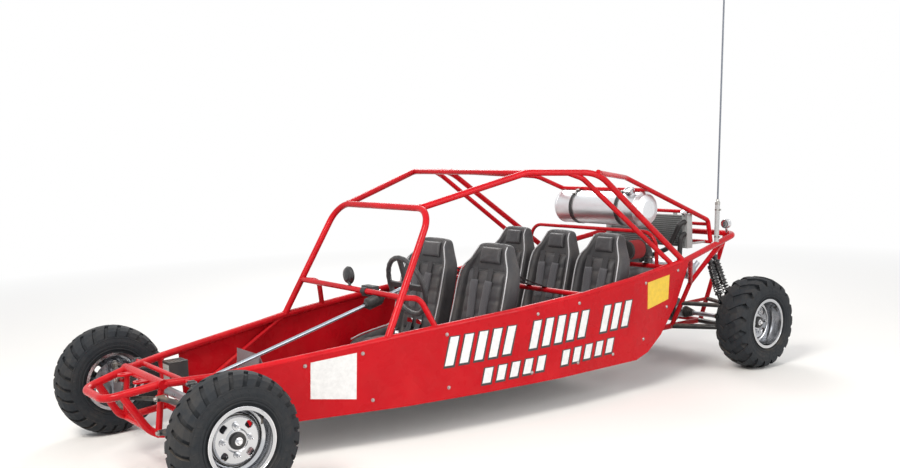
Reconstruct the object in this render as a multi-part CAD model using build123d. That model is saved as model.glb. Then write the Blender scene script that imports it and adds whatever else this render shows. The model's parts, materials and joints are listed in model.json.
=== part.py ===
from build123d import *
from math import cos, pi, radians, sin, sqrt
import os

# Long sand buggy with a welded tube frame, five seats in two rows and an engine behind them.
# Millimetres. Front is -Y, left is +X, up is +Z. The origin is on the ground, midway along.

# Overall layout
WHEELBASE = 3850.0
TRACK = 1615.0
TYRE_DIAMETER = 620.0
NOSE_REACH = 375.0
FRONT_TYRE_WIDTH = 200.0
REAR_TYRE_WIDTH = 240.0
CLEARANCE = 0.3
RUNNING = 0.08

LENGTH = NOSE_REACH + WHEELBASE + TYRE_DIAMETER / 2
FRONT_AXLE_Y = NOSE_REACH - LENGTH / 2
AXLE_HEIGHT = TYRE_DIAMETER / 2

# Tube diameters of the frame
CROSS_TUBE = 48.0
BELT_TUBE = 40.0
HOOP_TUBE = 38.0
BRACE_TUBE = 32.0
LIGHT_TUBE = 25.0

# Stations of the frame, measured back from the front axle
JUNCTION = -100.0
PANEL_FRONT = 250.0
PILLAR_FOOT = 1010.0
HOOP_STATION = 1384.0
BRACE_FOOT = 1301.0
SHOULDER_BAR = 3100.0
RAIL_FOOT = 3290.0
TWIN_FOOT = 3170.0
ROOF_FRONT = 2027.0
FRONT_SEAT_BAR = 2320.0
ROOF_BEND = 2450.0
STAY_BEND = 3010.0
TANK_STATION = 3250.0
REAR_BAR = WHEELBASE + 140.0
RAIL_SPLICE = WHEELBASE + 20.0
FLOOR_END = 2760.0

# Heights and half widths of the frame
FLOOR_HEIGHT = 229.0
JUNCTION_WIDTH = 235.0
JUNCTION_HEIGHT = 479.0
NOSE_HEIGHT = 430.0
NOSE_WIDTH = 150.0
HOOP_WIDTH = 487.0
HOOP_HEIGHT = 1240.0
HOOP_BEND = 140.0
DASH_HEIGHT = 785.0
DASH_ELBOW_BACK = 120.0
DASH_ELBOW_DROP = 20.0
DASH_BEND = 70.0
ROOF_START_WIDTH = 380.0
ROOF_WIDTH = 563.0
ROOF_HEIGHT = 1409.0
BEND_WIDTH = 720.0
BEND_HEIGHT = 1390.0
STAY_WIDTH = 425.0
STAY_HEIGHT = 1330.0
TWIN_START = 0.56
TWIN_CORNER = 0.78
TWIN_DROP = 34.0
SHOULDER_REACH = 600.0
SHOULDER_HEIGHT = 972.0
SHOULDER_BEND = 110.0
TAIL_WIDTH = 552.0
TAIL_HEIGHT = 886.0

# Belt rail: station, half width, height
BELT_RAIL = [
    (JUNCTION, JUNCTION_WIDTH, JUNCTION_HEIGHT),
    (150.0, 354.0, 494.0),
    (830.0, 518.0, 559.0),
    (PILLAR_FOOT, 562.0, 579.0),
    (1800.0, 680.0, 635.0),
    (2320.0, 710.0, 669.0),
    (2730.0, 716.0, 712.0),
    (WHEELBASE - 530.0, 660.0, 774.0),
    (REAR_BAR, TAIL_WIDTH, TAIL_HEIGHT),
]
BELT_BEND = 420.0

# Bottom rail, from the nose to where it rises behind the panel: station, half width, height
BOTTOM_RAIL = [
    (-150.0, 215.0, FLOOR_HEIGHT),
    (PANEL_FRONT, 335.0, FLOOR_HEIGHT),
    (540.0, 420.0, FLOOR_HEIGHT),
    (1100.0, 570.0, FLOOR_HEIGHT),
    (1600.0, 650.0, FLOOR_HEIGHT),
    (2100.0, 698.0, FLOOR_HEIGHT),
    (FLOOR_END, 698.0, FLOOR_HEIGHT),
    (2880.0, 688.0, FLOOR_HEIGHT + 32.0),
    (3020.0, 674.0, FLOOR_HEIGHT + 120.0),
    (3190.0, 662.0, FLOOR_HEIGHT + 300.0),
]
RAIL_BEND = 300.0
RISE_TOP = 3325.0
NOSE_BEND = 92.0

# Rear stay: station, half width, height
POST_WIDTH = 400.0
POST_HEIGHT = 985.0
POST_BAR_DROP = 30.0
LOW_BAR = WHEELBASE + 60.0
LOW_BAR_HEIGHT = 826.0
REAR_STAY = [
    (ROOF_BEND, BEND_WIDTH, BEND_HEIGHT),
    (STAY_BEND, STAY_WIDTH, STAY_HEIGHT),
    (WHEELBASE + 30.0, POST_WIDTH, POST_HEIGHT),
    (LOW_BAR, POST_WIDTH, LOW_BAR_HEIGHT),
]

# Feet of the two braces under each belt rail, and the node where they meet: station, half width, height
BRACE_FEET = (WHEELBASE - 475.0, WHEELBASE - 50.0)
TOWER = (WHEELBASE - 170.0, 400.0, 560.0)
CRADLE_FRONT = 2700.0
CRADLE_HEIGHT = 235.0
CRADLE_WIDTH = 245.0
CRADLE_END = WHEELBASE + 150.0
CRADLE_CROSS = WHEELBASE - 270.0
UPRIGHT_FRONT = WHEELBASE - 190.0
UPRIGHT_BACK = CRADLE_END - 20.0
UPRIGHT_TOP_WIDTH = 470.0
PICKUP_HEIGHT = 400.0

# Ends of the bar that the rear shocks hang from, as shares of the back brace and the back upright
SHOCK_BAR_FRONT = 0.44
SHOCK_BAR_BACK = 0.88

# Tow ears: at the nose, half width of their places, and behind the tail bar
EAR_BORE = 28.0
EAR_RADIUS = 28.0
EAR_THICK = 10.0
EAR_REACH = 66.0
EAR_WIDTH = 110.0
TAIL_EAR_REACH = 48.0

# Wheels and brake discs
BEAD_RADIUS = 152.0
RIM_WALL = 4.0
FRONT_RIM_WIDTH = 180.0
REAR_RIM_WIDTH = 220.0
RIM_LIP_RADIUS = 165.0
DROP_RADIUS = 128.0
LUG_DEPTH = 11.0
DISC_RADIUS = 104.0
STUD_RADIUS = 67.0
WINDOW_RADIUS = 88.0
HUB_NOSE = 36.0
FRONT_DISC_FACE = 19.0
REAR_DISC_FACE = 13.0
DISC_OFFSET = -50.0
DISC_THICK = 6.0
DISC_HOLES = 24
DISC_HOLE = 9.0

# Tread of each axle: grooves round the tyre, their width, slant and inner offset
TREAD = {"front": (26, 20.0, 24.0, 16.0), "rear": (20, 42.0, -32.0, 10.0)}

# Front suspension and steering
KINGPIN_INSET = 95.0
KINGPIN_X = TRACK / 2 - KINGPIN_INSET
BALL_SPREAD = 90.0
LOWER_BALL = AXLE_HEIGHT - BALL_SPREAD
UPPER_BALL = AXLE_HEIGHT + BALL_SPREAD
BOSS_REACH = 15.7
SPINDLE_RADIUS = 15.0
STEER_ARM = 85.0
ARM_TUBE = 26.0
BAY_HALF = 125.0
BAY_FRONT_PIVOT = 275.0
BAY_REAR_PIVOT = 345.0
PIVOT_BUSH = 30.0
LOWER_PIVOT_HEIGHT = 252.0
UPPER_PIVOT_HEIGHT = 420.0
MIDDLE_TUBE_SHARE = 0.28
TOP_BAR_REACH = 68.0
RACK_HEIGHT = 342.0
RACK_HALF = 290.0
RACK_BAR = 16.0
SADDLE_WIDTH = 120.0

# Steering wheel and column
COLUMN_TIP = 150.0
COLUMN_TIP_WIDTH = 275.0
COLUMN_TIP_HEIGHT = 482.0
COLUMN_SIDE = 300.0
COLUMN_RING = 1108.0
SHAFT = 20.0
WHEEL_STATION = 1330.0
WHEEL_HEIGHT = 800.0
WHEEL_RIM_RADIUS = 170.0
WHEEL_RIM_TUBE = 26.0

# Rear carriers and coil-overs
CARRIER_WIDTH = TRACK / 2 - 152.5
CARRIER_HALF = 28.0
CARRIER_TOP = AXLE_HEIGHT + 110.0
SHOCK_STATIONS = (WHEELBASE - 37.0, WHEELBASE + 24.0)
SPRING_RADIUS = 28.0
COILS = 10
FRONT_SHOCK_REACH = TOP_BAR_REACH + 10.0
FRONT_SHOCK_FOOT = KINGPIN_X - 122.5
FRONT_SHOCK_FOOT_HEIGHT = 238.0
FRONT_SHOCK_EYE = 38.0

# Panels
PANEL_THICK = 2.5
FLOOR_THICK = 3.0
FLOOR_TOP = FLOOR_HEIGHT - HOOP_TUBE / 2
PANEL_END = 12.0

# Engine by its half outline seen from the front: half width, height
ENGINE_FRONT = WHEELBASE - 730.0
ENGINE_BACK = WHEELBASE - 310.0
ENGINE_SECTION = [
    (0.0, 262.0), (145.0, 262.0), (152.0, 285.0), (152.0, 350.0), (126.0, 372.0), (126.0, 540.0),
    (108.0, 560.0), (108.0, 668.0), (84.0, 684.0), (80.0, 728.0), (60.0, 746.0), (0.0, 746.0),
]
CYLINDERS = 4
RIB_DEPTH = 12.0

# Pulleys on the engine's front: offset to the left, height, radius
PULLEYS = [(0.0, 340.0, 70.0), (-150.0, 430.0, 34.0), (40.0, 600.0, 46.0)]

# Intake and air filter along the engine: offset to the left, height, and the diameter or the radius
PLENUM = (205.0, 650.0, 84.0)
FILTER = (215.0, 815.0, 62.0)

# Side outline of the final drive: distance behind the engine, height
FINAL_DRIVE = [(50.0, 262.0), (50.0, 470.0), (150.0, 452.0), (230.0, 405.0), (400.0, 385.0),
               (420.0, 360.0), (420.0, 268.0)]
FINAL_HALF = 92.0
OUTPUT_REACH = 140.0

# Exhaust: offset and height of its pipe, then the silencer's reach to each side, station and height
EXHAUST_SIDE = -190.0
EXHAUST_HEIGHT = 560.0
SILENCER = (205.0, WHEELBASE + 85.0, 600.0)

# Fuel tank and its straps
TANK_RADIUS = 118.0
TANK_REACH = 410.0
STRAP_PLACES = (-215.0, 215.0)

# Radiator, and its hoses by their points: station, half width, height
RADIATOR_STATION = WHEELBASE - 150.0
RADIATOR_LOW = 800.0
RADIATOR_REACH = 385.0
SIDE_TANK = 42.0
HOSE = 34.0
HOSE_ROUTES = [
    [(RADIATOR_STATION, 365.0, 985.0), (WHEELBASE - 225.0, 365.0, 985.0),
     (WHEELBASE - 235.0, 265.0, 800.0), (WHEELBASE - 330.0, 60.0, 700.0), (ENGINE_BACK - 40.0, 40.0, 640.0)],
    [(RADIATOR_STATION, 364.0, 900.0), (WHEELBASE - 222.0, 364.0, 900.0),
     (WHEELBASE - 225.0, 345.0, 640.0), (WHEELBASE - 300.0, 200.0, 480.0),
     (ENGINE_BACK - 40.0, 90.0, 480.0)],
]

# Rows of seats: front edge of the shells, width, middles of the seats
SEAT_TABLE = [
    ("front_seats", 1420.0, 480.0, (300.0, -300.0)),
    ("rear_seats", 2250.0, 400.0, (440.0, 0.0, -440.0)),
]

# Side outlines of a seat: distance behind its front edge, height
SHELL_OUTLINE = [
    (0.0, 300.0), (0.0, 240.0), (30.0, 210.0), (420.0, 210.0), (628.0, 930.0), (618.0, 985.0),
    (578.0, 985.0), (546.0, 935.0), (390.0, 300.0),
]
BOLSTER_OUTLINE = [
    (6.0, 372.0), (0.0, 240.0), (30.0, 210.0), (420.0, 210.0), (600.0, 835.0), (500.0, 835.0),
    (396.0, 470.0), (320.0, 405.0),
]
PAD_OUTLINE = [
    (10.0, 300.0), (8.0, 350.0), (40.0, 374.0), (330.0, 374.0), (388.0, 338.0), (384.0, 300.0),
]
BOLSTER_WIDTH = 45.0

# Half outline of a seat from the front: share of its half width, height
SEAT_FACE = [(1.05, 200.0), (1.05, 760.0), (0.86, 850.0), (0.64, 890.0), (0.58, 990.0)]

# Small pieces: flag whip, tail lamp, battery box, pedals and gear lever
WHIP_STATION = 3720.0
WHIP_LEAN = 0.063
WHIP_HOLDER = 285.0
WHIP_LENGTH = 2150.0
LAMP_DIAMETER = 62.0
LAMP_LENGTH = 36.0
BOX_LENGTH = 106.0
BOX_INNER = 223.0
BOX_OUTER = 318.0
BOX_LOW = 350.0
BOX_HIGH = 472.0
PEDAL_STATION = 455.0
PEDAL_SHAFT_HEIGHT = 262.0
PEDAL_PAD_HEIGHT = 410.0
BRACKET_PLACES = (205.0, 350.0)

# Pedal pads: half width of their middles, width
PEDAL_PADS = [(232.0, 46.0), (278.0, 34.0), (324.0, 34.0)]
LEVER_STATION = 1450.0
KNOB_STATION = 1430.0
KNOB_HEIGHT = 530.0
KNOB_RADIUS = 22.0


def spot(station, width, height, side=1):
    """Point of the car from its station, half width and height."""
    return Vector(side * width, FRONT_AXLE_Y + station, height)


def rail_at(rail, station):
    """Half width, height and spread rate of a rail at a station."""
    for first, second in zip(rail, rail[1:]):
        if station <= second[0]:
            break
    run = second[0] - first[0]
    share = (station - first[0]) / run
    width = first[1] + share * (second[1] - first[1])
    height = first[2] + share * (second[2] - first[2])
    return width, height, (second[1] - first[1]) / run


def on_belt(station, side=1):
    """Centre of the belt rail at a station."""
    width, height, _ = rail_at(BELT_RAIL, station)
    return spot(station, width, height, side)


def on_floor_rail(station, side=1):
    """Centre of the bottom rail at a station."""
    width, height, _ = rail_at(BOTTOM_RAIL, station)
    return spot(station, width, height, side)


def dash_end(side=1):
    """End of the dash bar on the front hoop's leg."""
    foot = on_belt(PILLAR_FOOT, side)
    share = (DASH_HEIGHT - foot.Z) / (HOOP_HEIGHT - foot.Z)
    return between(foot, spot(HOOP_STATION, HOOP_WIDTH, HOOP_HEIGHT, side), share)


def tube(points, diameter, bend=0.0):
    """Round bar through the points, with its inner corners bent to the given radii."""
    if len(points) == 2:
        path = Line(*points)
    else:
        bends = bend if isinstance(bend, list) else [bend] * (len(points) - 2)
        path = FilletPolyline(*points, radius=bends)
    start = Plane(origin=path @ 0, z_dir=path % 0)
    return sweep(start * Circle(diameter / 2), path=path)


def fuse(pieces):
    """One shape from several that meet."""
    whole = pieces[0]
    for piece in pieces[1:]:
        whole = whole + piece
    return whole


def cope(piece, *others):
    """A piece cut back to the faces of those that it meets."""
    for other in others:
        piece = piece - other
    return piece


def both(maker):
    """A piece for each side, from a maker that takes the side."""
    return {1: maker(1), -1: maker(-1)}


def ring(profile, centre, side=1):
    """Solid turned about a cross-car axis, from points of offset and radius."""
    face = make_face(Polyline(*[(side * offset, radius) for offset, radius in profile], close=True))
    turned = revolve(face, axis=Axis.X)
    return turned.moved(Location(centre))


def rod(start, end, diameter):
    """Straight round bar between two points."""
    return tube([Vector(start), Vector(end)], diameter)


# Frame

def tow_ear(centre, reach):
    """Flat ear with an upright hole, and the distance back to the tube that it is welded on."""
    arm = Pos(0, reach / 2, 0) * Box(2 * EAR_RADIUS, abs(reach), EAR_THICK)
    plate = Cylinder(EAR_RADIUS, EAR_THICK) + arm
    return Location(centre) * (plate - Cylinder(EAR_BORE / 2, 2 * EAR_THICK))


def nose_frame():
    """Flat nose hoop with the cross tube that the rails end on, and its two tow ears."""
    corner = spot(BELT_TUBE / 2 - NOSE_REACH, NOSE_WIDTH, NOSE_HEIGHT)
    mirror_corner = Vector(-corner.X, corner.Y, corner.Z)
    left = spot(JUNCTION, JUNCTION_WIDTH, JUNCTION_HEIGHT)
    right = spot(JUNCTION, JUNCTION_WIDTH, JUNCTION_HEIGHT, -1)
    hoop = tube([left, corner, mirror_corner, right], BELT_TUBE, NOSE_BEND)
    over = Vector(CROSS_TUBE / 2, 0, 0)
    frame = hoop + tube([left + over, right - over], CROSS_TUBE)
    for side in (1, -1):
        frame = frame + tow_ear(spot(JUNCTION - EAR_REACH, EAR_WIDTH, JUNCTION_HEIGHT, side), EAR_REACH)
    return frame


def belt_rail(side, nose):
    """Side rail at belt height, from the nose to the tail."""
    points = [spot(s, w, h, side) for s, w, h in BELT_RAIL[:-1]]
    points.append(on_belt(RAIL_SPLICE, side))
    return cope(tube(points, BELT_TUBE, BELT_BEND), nose)


def bottom_rail(side, nose, belt):
    """Nose brace, floor rail and rise behind the panel in one bent tube."""
    start_share = 0.3
    corner = spot(BELT_TUBE / 2 - NOSE_REACH, NOSE_WIDTH, NOSE_HEIGHT, side)
    left = spot(JUNCTION, JUNCTION_WIDTH, JUNCTION_HEIGHT, side)
    points = [corner + (left - corner) * start_share]
    points += [spot(s, w, h, side) for s, w, h in BOTTOM_RAIL]
    points.append(on_belt(RISE_TOP, side))
    bends = [110.0] + [RAIL_BEND] * (len(points) - 3)
    return cope(tube(points, HOOP_TUBE, bends), nose, belt)


def windshield_hoop(belts):
    """Front hoop, dash bar and the braces from its ends down to the belt rails."""
    feet = {side: on_belt(PILLAR_FOOT, side) for side in (1, -1)}
    tops = {side: spot(HOOP_STATION, HOOP_WIDTH, HOOP_HEIGHT, side) for side in (1, -1)}
    hoop = tube([feet[1], tops[1], tops[-1], feet[-1]], HOOP_TUBE, HOOP_BEND)
    ends = {side: dash_end(side) for side in (1, -1)}
    pieces = [hoop, tube([ends[1], ends[-1]], BRACE_TUBE)]
    for side in (1, -1):
        elbow = Vector(ends[side].X, ends[side].Y + DASH_ELBOW_BACK, ends[side].Z - DASH_ELBOW_DROP)
        pieces.append(tube([ends[side], elbow, on_belt(BRACE_FOOT, side)], BRACE_TUBE, DASH_BEND))
    return cope(fuse(pieces), belts[1], belts[-1])


def roof_rail(side, hoop, belt):
    """Roof rail from the hoop's top, over the seats and down to the belt, with its twin."""
    start = spot(HOOP_STATION, ROOF_START_WIDTH, HOOP_HEIGHT, side)
    peak = spot(ROOF_FRONT, ROOF_WIDTH, ROOF_HEIGHT, side)
    bend = spot(ROOF_BEND, BEND_WIDTH, BEND_HEIGHT, side)
    rail = tube([start, peak, bend, on_belt(RAIL_FOOT, side)], HOOP_TUBE, [180.0, 250.0])
    corner = between(peak, bend, TWIN_CORNER) - Vector(0, 0, TWIN_DROP)
    twin = tube([between(peak, bend, TWIN_START), corner, on_belt(TWIN_FOOT, side)], BRACE_TUBE, 110.0)
    return cope(rail + twin, hoop, belt)


def roof_bars(rails, stays):
    """Cross bars of the roof: over the front seats, and the one that holds the tank."""
    front = [spot(ROOF_FRONT, ROOF_WIDTH, ROOF_HEIGHT - 1.0, side) for side in (1, -1)]
    bar = cope(tube(front, BRACE_TUBE), rails[1], rails[-1])
    back = [on_stay(TANK_STATION, side) for side in (1, -1)]
    return [bar, cope(tube(back, LIGHT_TUBE), stays[1], stays[-1])]


def on_stay(station, side=1):
    """Centre of the rear stay's long run at a station."""
    width, height, _ = rail_at(REAR_STAY[1:3], station)
    return spot(station, width, height, side)


def rear_stay(side, rail):
    """Long stay from the roof's bend back to the tail and down to its lower cross bar."""
    points = [spot(*row, side) for row in REAR_STAY]
    return cope(tube(points, BRACE_TUBE, [150.0, 40.0]), rail)


def tail_frame(stays):
    """Rear bar round the corners with its tow ear, and the two cross bars between the posts."""
    corners = [spot(REAR_BAR, TAIL_WIDTH, TAIL_HEIGHT, side) for side in (1, -1)]
    bar = tube([on_belt(RAIL_SPLICE, 1), corners[0], corners[1], on_belt(RAIL_SPLICE, -1)],
               BELT_TUBE, 85.0)
    bar = bar + tow_ear(spot(REAR_BAR + TAIL_EAR_REACH, 0.0, TAIL_HEIGHT), -TAIL_EAR_REACH)
    post = REAR_STAY[2:]
    bars = [bar]
    for height in (LOW_BAR_HEIGHT, POST_HEIGHT - POST_BAR_DROP):
        share = (height - post[0][2]) / (post[1][2] - post[0][2])
        station = post[0][0] + share * (post[1][0] - post[0][0])
        ends = [spot(station, POST_WIDTH, height, side) for side in (1, -1)]
        bars.append(cope(tube(ends, LIGHT_TUBE), stays[1], stays[-1]))
    return bars


def between(start, end, share):
    """Point a share of the way from one point to another."""
    return start + (end - start) * share


def rear_uprights(side):
    """Feet and heads of the front and back uprights that carry the rear arms."""
    front = (spot(UPRIGHT_FRONT, CRADLE_WIDTH, CRADLE_HEIGHT, side), spot(*TOWER, side))
    back = (spot(UPRIGHT_BACK, CRADLE_WIDTH, CRADLE_HEIGHT, side),
            spot(REAR_BAR, UPRIGHT_TOP_WIDTH, TAIL_HEIGHT, side))
    return front, back


def shock_bar(side):
    """Ends of the bar that the rear shocks hang from."""
    diagonal = between(spot(*TOWER, side), on_belt(BRACE_FEET[1], side), SHOCK_BAR_FRONT)
    foot, head = rear_uprights(side)[1]
    return diagonal, between(foot, head, SHOCK_BAR_BACK)


def at_height(foot, head, height):
    """Point of a straight run at a height."""
    return between(foot, head, (height - foot.Z) / (head.Z - foot.Z))


def rear_brace(side, belt, bar):
    """Braces under the belt, the uprights of the cradle and the pick-up bars between them."""
    node = spot(*TOWER, side)
    front, back = rear_uprights(side)
    pieces = [tube([on_belt(foot, side), node], BRACE_TUBE) for foot in BRACE_FEET]
    pieces.append(tube(list(front), BRACE_TUBE))
    pieces.append(tube(list(back), BRACE_TUBE))
    pieces.append(tube(list(shock_bar(side)), LIGHT_TUBE))
    pick_up = [at_height(*front, PICKUP_HEIGHT), at_height(*back, PICKUP_HEIGHT)]
    pieces.append(tube(pick_up, LIGHT_TUBE))
    return cope(fuse(pieces), belt, bar)


def cradle(rails, braces):
    """Two low rails that carry the engine and the final drive, tied across."""
    pieces = []
    for side in (1, -1):
        start = spot(CRADLE_FRONT, CRADLE_WIDTH, CRADLE_HEIGHT, side)
        end = spot(CRADLE_END, CRADLE_WIDTH, CRADLE_HEIGHT, side)
        pieces.append(tube([start, end], HOOP_TUBE))
    for station in (CRADLE_CROSS, UPRIGHT_BACK):
        ends = [spot(station, CRADLE_WIDTH, CRADLE_HEIGHT, side) for side in (1, -1)]
        pieces.append(tube(ends, BRACE_TUBE))
    across = [on_floor_rail(CRADLE_FRONT, side) for side in (1, -1)]
    pieces.append(cope(tube(across, BRACE_TUBE), rails[1], rails[-1]))
    return cope(fuse(pieces), braces[1], braces[-1])


def floor_pan():
    """Flat sheet under the floor rails."""
    stations = [row[0] for row in BOTTOM_RAIL if PANEL_FRONT <= row[0] <= FLOOR_END]
    outline = []
    for side in (1, -1):
        edge = [on_floor_rail(s, side) for s in stations]
        outline += edge if side == 1 else edge[::-1]
    low = FLOOR_TOP - FLOOR_THICK
    face = make_face(Polyline(*[(p.X, p.Y) for p in outline], close=True))
    return extrude(face, FLOOR_THICK).moved(Location((0, 0, low)))


def panel_section(station, side):
    """Section of a side panel that lies against both rails at a station."""
    top_w, top_h, top_rate = rail_at(BELT_RAIL, station)
    low_w, low_h, low_rate = rail_at(BOTTOM_RAIL + [(RISE_TOP, *rail_at(BELT_RAIL, RISE_TOP)[:2])], station)
    lean = sqrt(1 + ((top_w - low_w) / (top_h - low_h)) ** 2)
    top = top_w + BELT_TUBE / 2 * sqrt(1 + top_rate ** 2) * lean + CLEARANCE
    low = low_w + HOOP_TUBE / 2 * sqrt(1 + low_rate ** 2) * lean + 3 * CLEARANCE
    drop = HOOP_TUBE / 2 + FLOOR_THICK
    foot = low - (top - low) / (top_h - low_h) * drop
    corners = [(foot, low_h - drop), (foot + PANEL_THICK, low_h - drop), (top + PANEL_THICK, top_h),
               (top, top_h)]
    return make_face(Polyline(*[spot(station, w, h, side) for w, h in corners], close=True))


def side_panel(side):
    """Skin outside the rails, from behind the front wheel to the rise of the bottom rail."""
    stations = {row[0] for row in BELT_RAIL + BOTTOM_RAIL}
    stations = sorted(s for s in stations if PANEL_FRONT <= s < RISE_TOP - PANEL_END)
    stations.append(RISE_TOP - PANEL_END)
    return loft([panel_section(station, side) for station in stations], ruled=True)


# Front bay, arms, knuckles and steering

def bay_upright(station, side):
    """Foot and head of a post of the front bay."""
    head = on_belt(max(station, JUNCTION), side)
    return on_floor_rail(station, side), Vector(head.X, head.Y, head.Z)


def front_bay(nose, belts, lows):
    """Posts and cross tubes of the front bay with the brackets that the arms turn on."""
    pieces = []
    for side in (1, -1):
        for station, pivot in ((-BAY_HALF, BAY_FRONT_PIVOT), (BAY_HALF, BAY_REAR_PIVOT)):
            foot, head = bay_upright(station, side)
            pieces.append(tube([foot, head], BRACE_TUBE))
            for height in (LOWER_PIVOT_HEIGHT, UPPER_PIVOT_HEIGHT):
                start = at_height(foot, head, height)
                end = spot(station, pivot - PIVOT_BUSH / 2, height, side)
                pieces.append(rod(Vector(start.X, end.Y, height), end, 18.0))
    for station in (-BAY_HALF, BAY_HALF):
        ends = [on_floor_rail(station, side) for side in (1, -1)]
        pieces.append(tube(ends, BRACE_TUBE))
    middle = [between(*bay_upright(BAY_HALF, side), MIDDLE_TUBE_SHARE) for side in (1, -1)]
    pieces.append(tube(middle, LIGHT_TUBE))
    top = [on_belt(0.0, side) for side in (1, -1)]
    wide = Vector(TOP_BAR_REACH, 0, 0)
    pieces.append(tube([top[0] + wide, top[1] - wide], LIGHT_TUBE))
    return cope(fuse(pieces), nose, belts[1], belts[-1], lows[1], lows[-1])


def front_arm(side, ball_height, pivot_height, boss_low, boss_high):
    """A-shaped arm from two pivots of the bay to the boss over a kingpin end."""
    ball = spot(0.0, KINGPIN_X, ball_height, side)
    pieces = []
    for station, pivot in ((-BAY_HALF, BAY_FRONT_PIVOT), (BAY_HALF, BAY_REAR_PIVOT)):
        end = spot(station, pivot, pivot_height, side)
        pieces.append(tube([end, ball], ARM_TUBE))
        pieces.append(rod(end - Vector(0, 20, 0), end + Vector(0, 20, 0), PIVOT_BUSH))
    low = spot(0.0, KINGPIN_X, boss_low, side)
    high = spot(0.0, KINGPIN_X, boss_high, side)
    return fuse(pieces + [rod(low, high, 40.0)])


def front_arms(side, bay):
    """Lower and upper arm of one side."""
    top = UPPER_BALL + 17.0
    low = LOWER_BALL - 17.0
    lower = front_arm(side, LOWER_BALL - 2.0, LOWER_PIVOT_HEIGHT, low, LOWER_BALL + BOSS_REACH)
    upper = front_arm(side, UPPER_BALL + 2.0, UPPER_PIVOT_HEIGHT, UPPER_BALL - BOSS_REACH, top)
    return [cope(lower, bay), cope(upper, bay)]


def caliper(side):
    """Brake caliper over the disc, ahead of the knuckle, on its bracket."""
    inner = TRACK / 2 + DISC_OFFSET - 26.0
    outer = TRACK / 2 + DISC_OFFSET + DISC_THICK + 10.0
    middle = DISC_RADIUS - 12.0
    body = box_at(spot(-middle - 28.0, inner, AXLE_HEIGHT - 30.0, side),
                  spot(-middle + 22.0, outer, AXLE_HEIGHT + 30.0, side))
    slot = ring([(DISC_OFFSET - 5.0, 0.0), (DISC_OFFSET - 5.0, DISC_RADIUS + 5.0),
                 (DISC_OFFSET + DISC_THICK + 5.0, DISC_RADIUS + 5.0), (DISC_OFFSET + DISC_THICK + 5.0, 0.0)],
                spot(0.0, TRACK / 2, AXLE_HEIGHT, side), side)
    bracket = box_at(spot(-middle, inner - 12.0, AXLE_HEIGHT - 20.0, side),
                     spot(-10.0, inner + 6.0, AXLE_HEIGHT + 20.0, side))
    return (body - slot) + bracket


def knuckle(side):
    """Upright between the arms with its spindle, steering arm and brake caliper."""
    low = LOWER_BALL + BOSS_REACH + CLEARANCE
    high = UPPER_BALL - BOSS_REACH - CLEARANCE
    body = box_at(spot(-22.0, KINGPIN_X - 18.0, low, side), spot(22.0, KINGPIN_X + 18.0, high, side))
    centre = spot(0.0, KINGPIN_X, AXLE_HEIGHT, side)
    spindle = rod(centre, spot(0.0, TRACK / 2 + 10.0, AXLE_HEIGHT, side), 2 * SPINDLE_RADIUS)
    under = RACK_HEIGHT - 10.0 - CLEARANCE
    arm = box_at(spot(0.0, KINGPIN_X - 15.0, under - 12.0, side),
                 spot(STEER_ARM + 14.0, KINGPIN_X + 15.0, under, side))
    return body + spindle + arm + caliper(side)


def tie_rods():
    """Sliding bar of the steering with a rod and eye to each knuckle."""
    tip = KINGPIN_X
    bar = rod(spot(STEER_ARM, tip, RACK_HEIGHT), spot(STEER_ARM, tip, RACK_HEIGHT, -1), RACK_BAR)
    for side in (1, -1):
        low = spot(STEER_ARM, tip, RACK_HEIGHT - 10.0, side)
        bar = bar + rod(low, low + Vector(0, 0, 20.0), 30.0)
    return bar


def steering_rack():
    """Housing round the sliding bar, with the tower that takes the column's end."""
    body = rod(spot(STEER_ARM, RACK_HALF, RACK_HEIGHT), spot(STEER_ARM, RACK_HALF, RACK_HEIGHT, -1), 46.0)
    end = column_point(COLUMN_TIP + 10.0)
    tower = rod(Vector(end.X - 5.0, FRONT_AXLE_Y + STEER_ARM, RACK_HEIGHT), end, 38.0)
    bore = rod(spot(STEER_ARM, TRACK, RACK_HEIGHT), spot(STEER_ARM, TRACK, RACK_HEIGHT, -1),
               RACK_BAR + 2 * RUNNING)
    socket = rod(column_point(COLUMN_TIP - CLEARANCE), column_point(WHEEL_STATION), SHAFT + 2 * RUNNING)
    return body + tower - bore - socket


def rack_saddles(bay, rack):
    """Two clamps that hold the rack on the bay's middle tube."""
    saddles = []
    for side in (1, -1):
        low = between(*bay_upright(BAY_HALF, side), MIDDLE_TUBE_SHARE)
        low = Vector(side * SADDLE_WIDTH, low.Y, low.Z)
        wall = between(spot(STEER_ARM, SADDLE_WIDTH, RACK_HEIGHT, side), low, 0.3)
        saddles.append(cope(rod(wall, low, 22.0), bay, rack))
    return saddles


def column_point(station):
    """Point of the steering column's axis at a station."""
    share = (station - COLUMN_TIP) / (WHEEL_STATION - COLUMN_TIP)
    low = spot(COLUMN_TIP, COLUMN_TIP_WIDTH, COLUMN_TIP_HEIGHT)
    return between(low, spot(WHEEL_STATION, COLUMN_SIDE, WHEEL_HEIGHT), share)


def column_ring(hoop):
    """Bearing ring that hangs the column from the dash bar."""
    body = rod(column_point(COLUMN_RING - 34.0), column_point(COLUMN_RING + 34.0), 58.0)
    bore = rod(column_point(COLUMN_RING - 90.0), column_point(COLUMN_RING + 90.0), SHAFT + 2 * RUNNING)
    return cope(body - bore, hoop)


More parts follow.
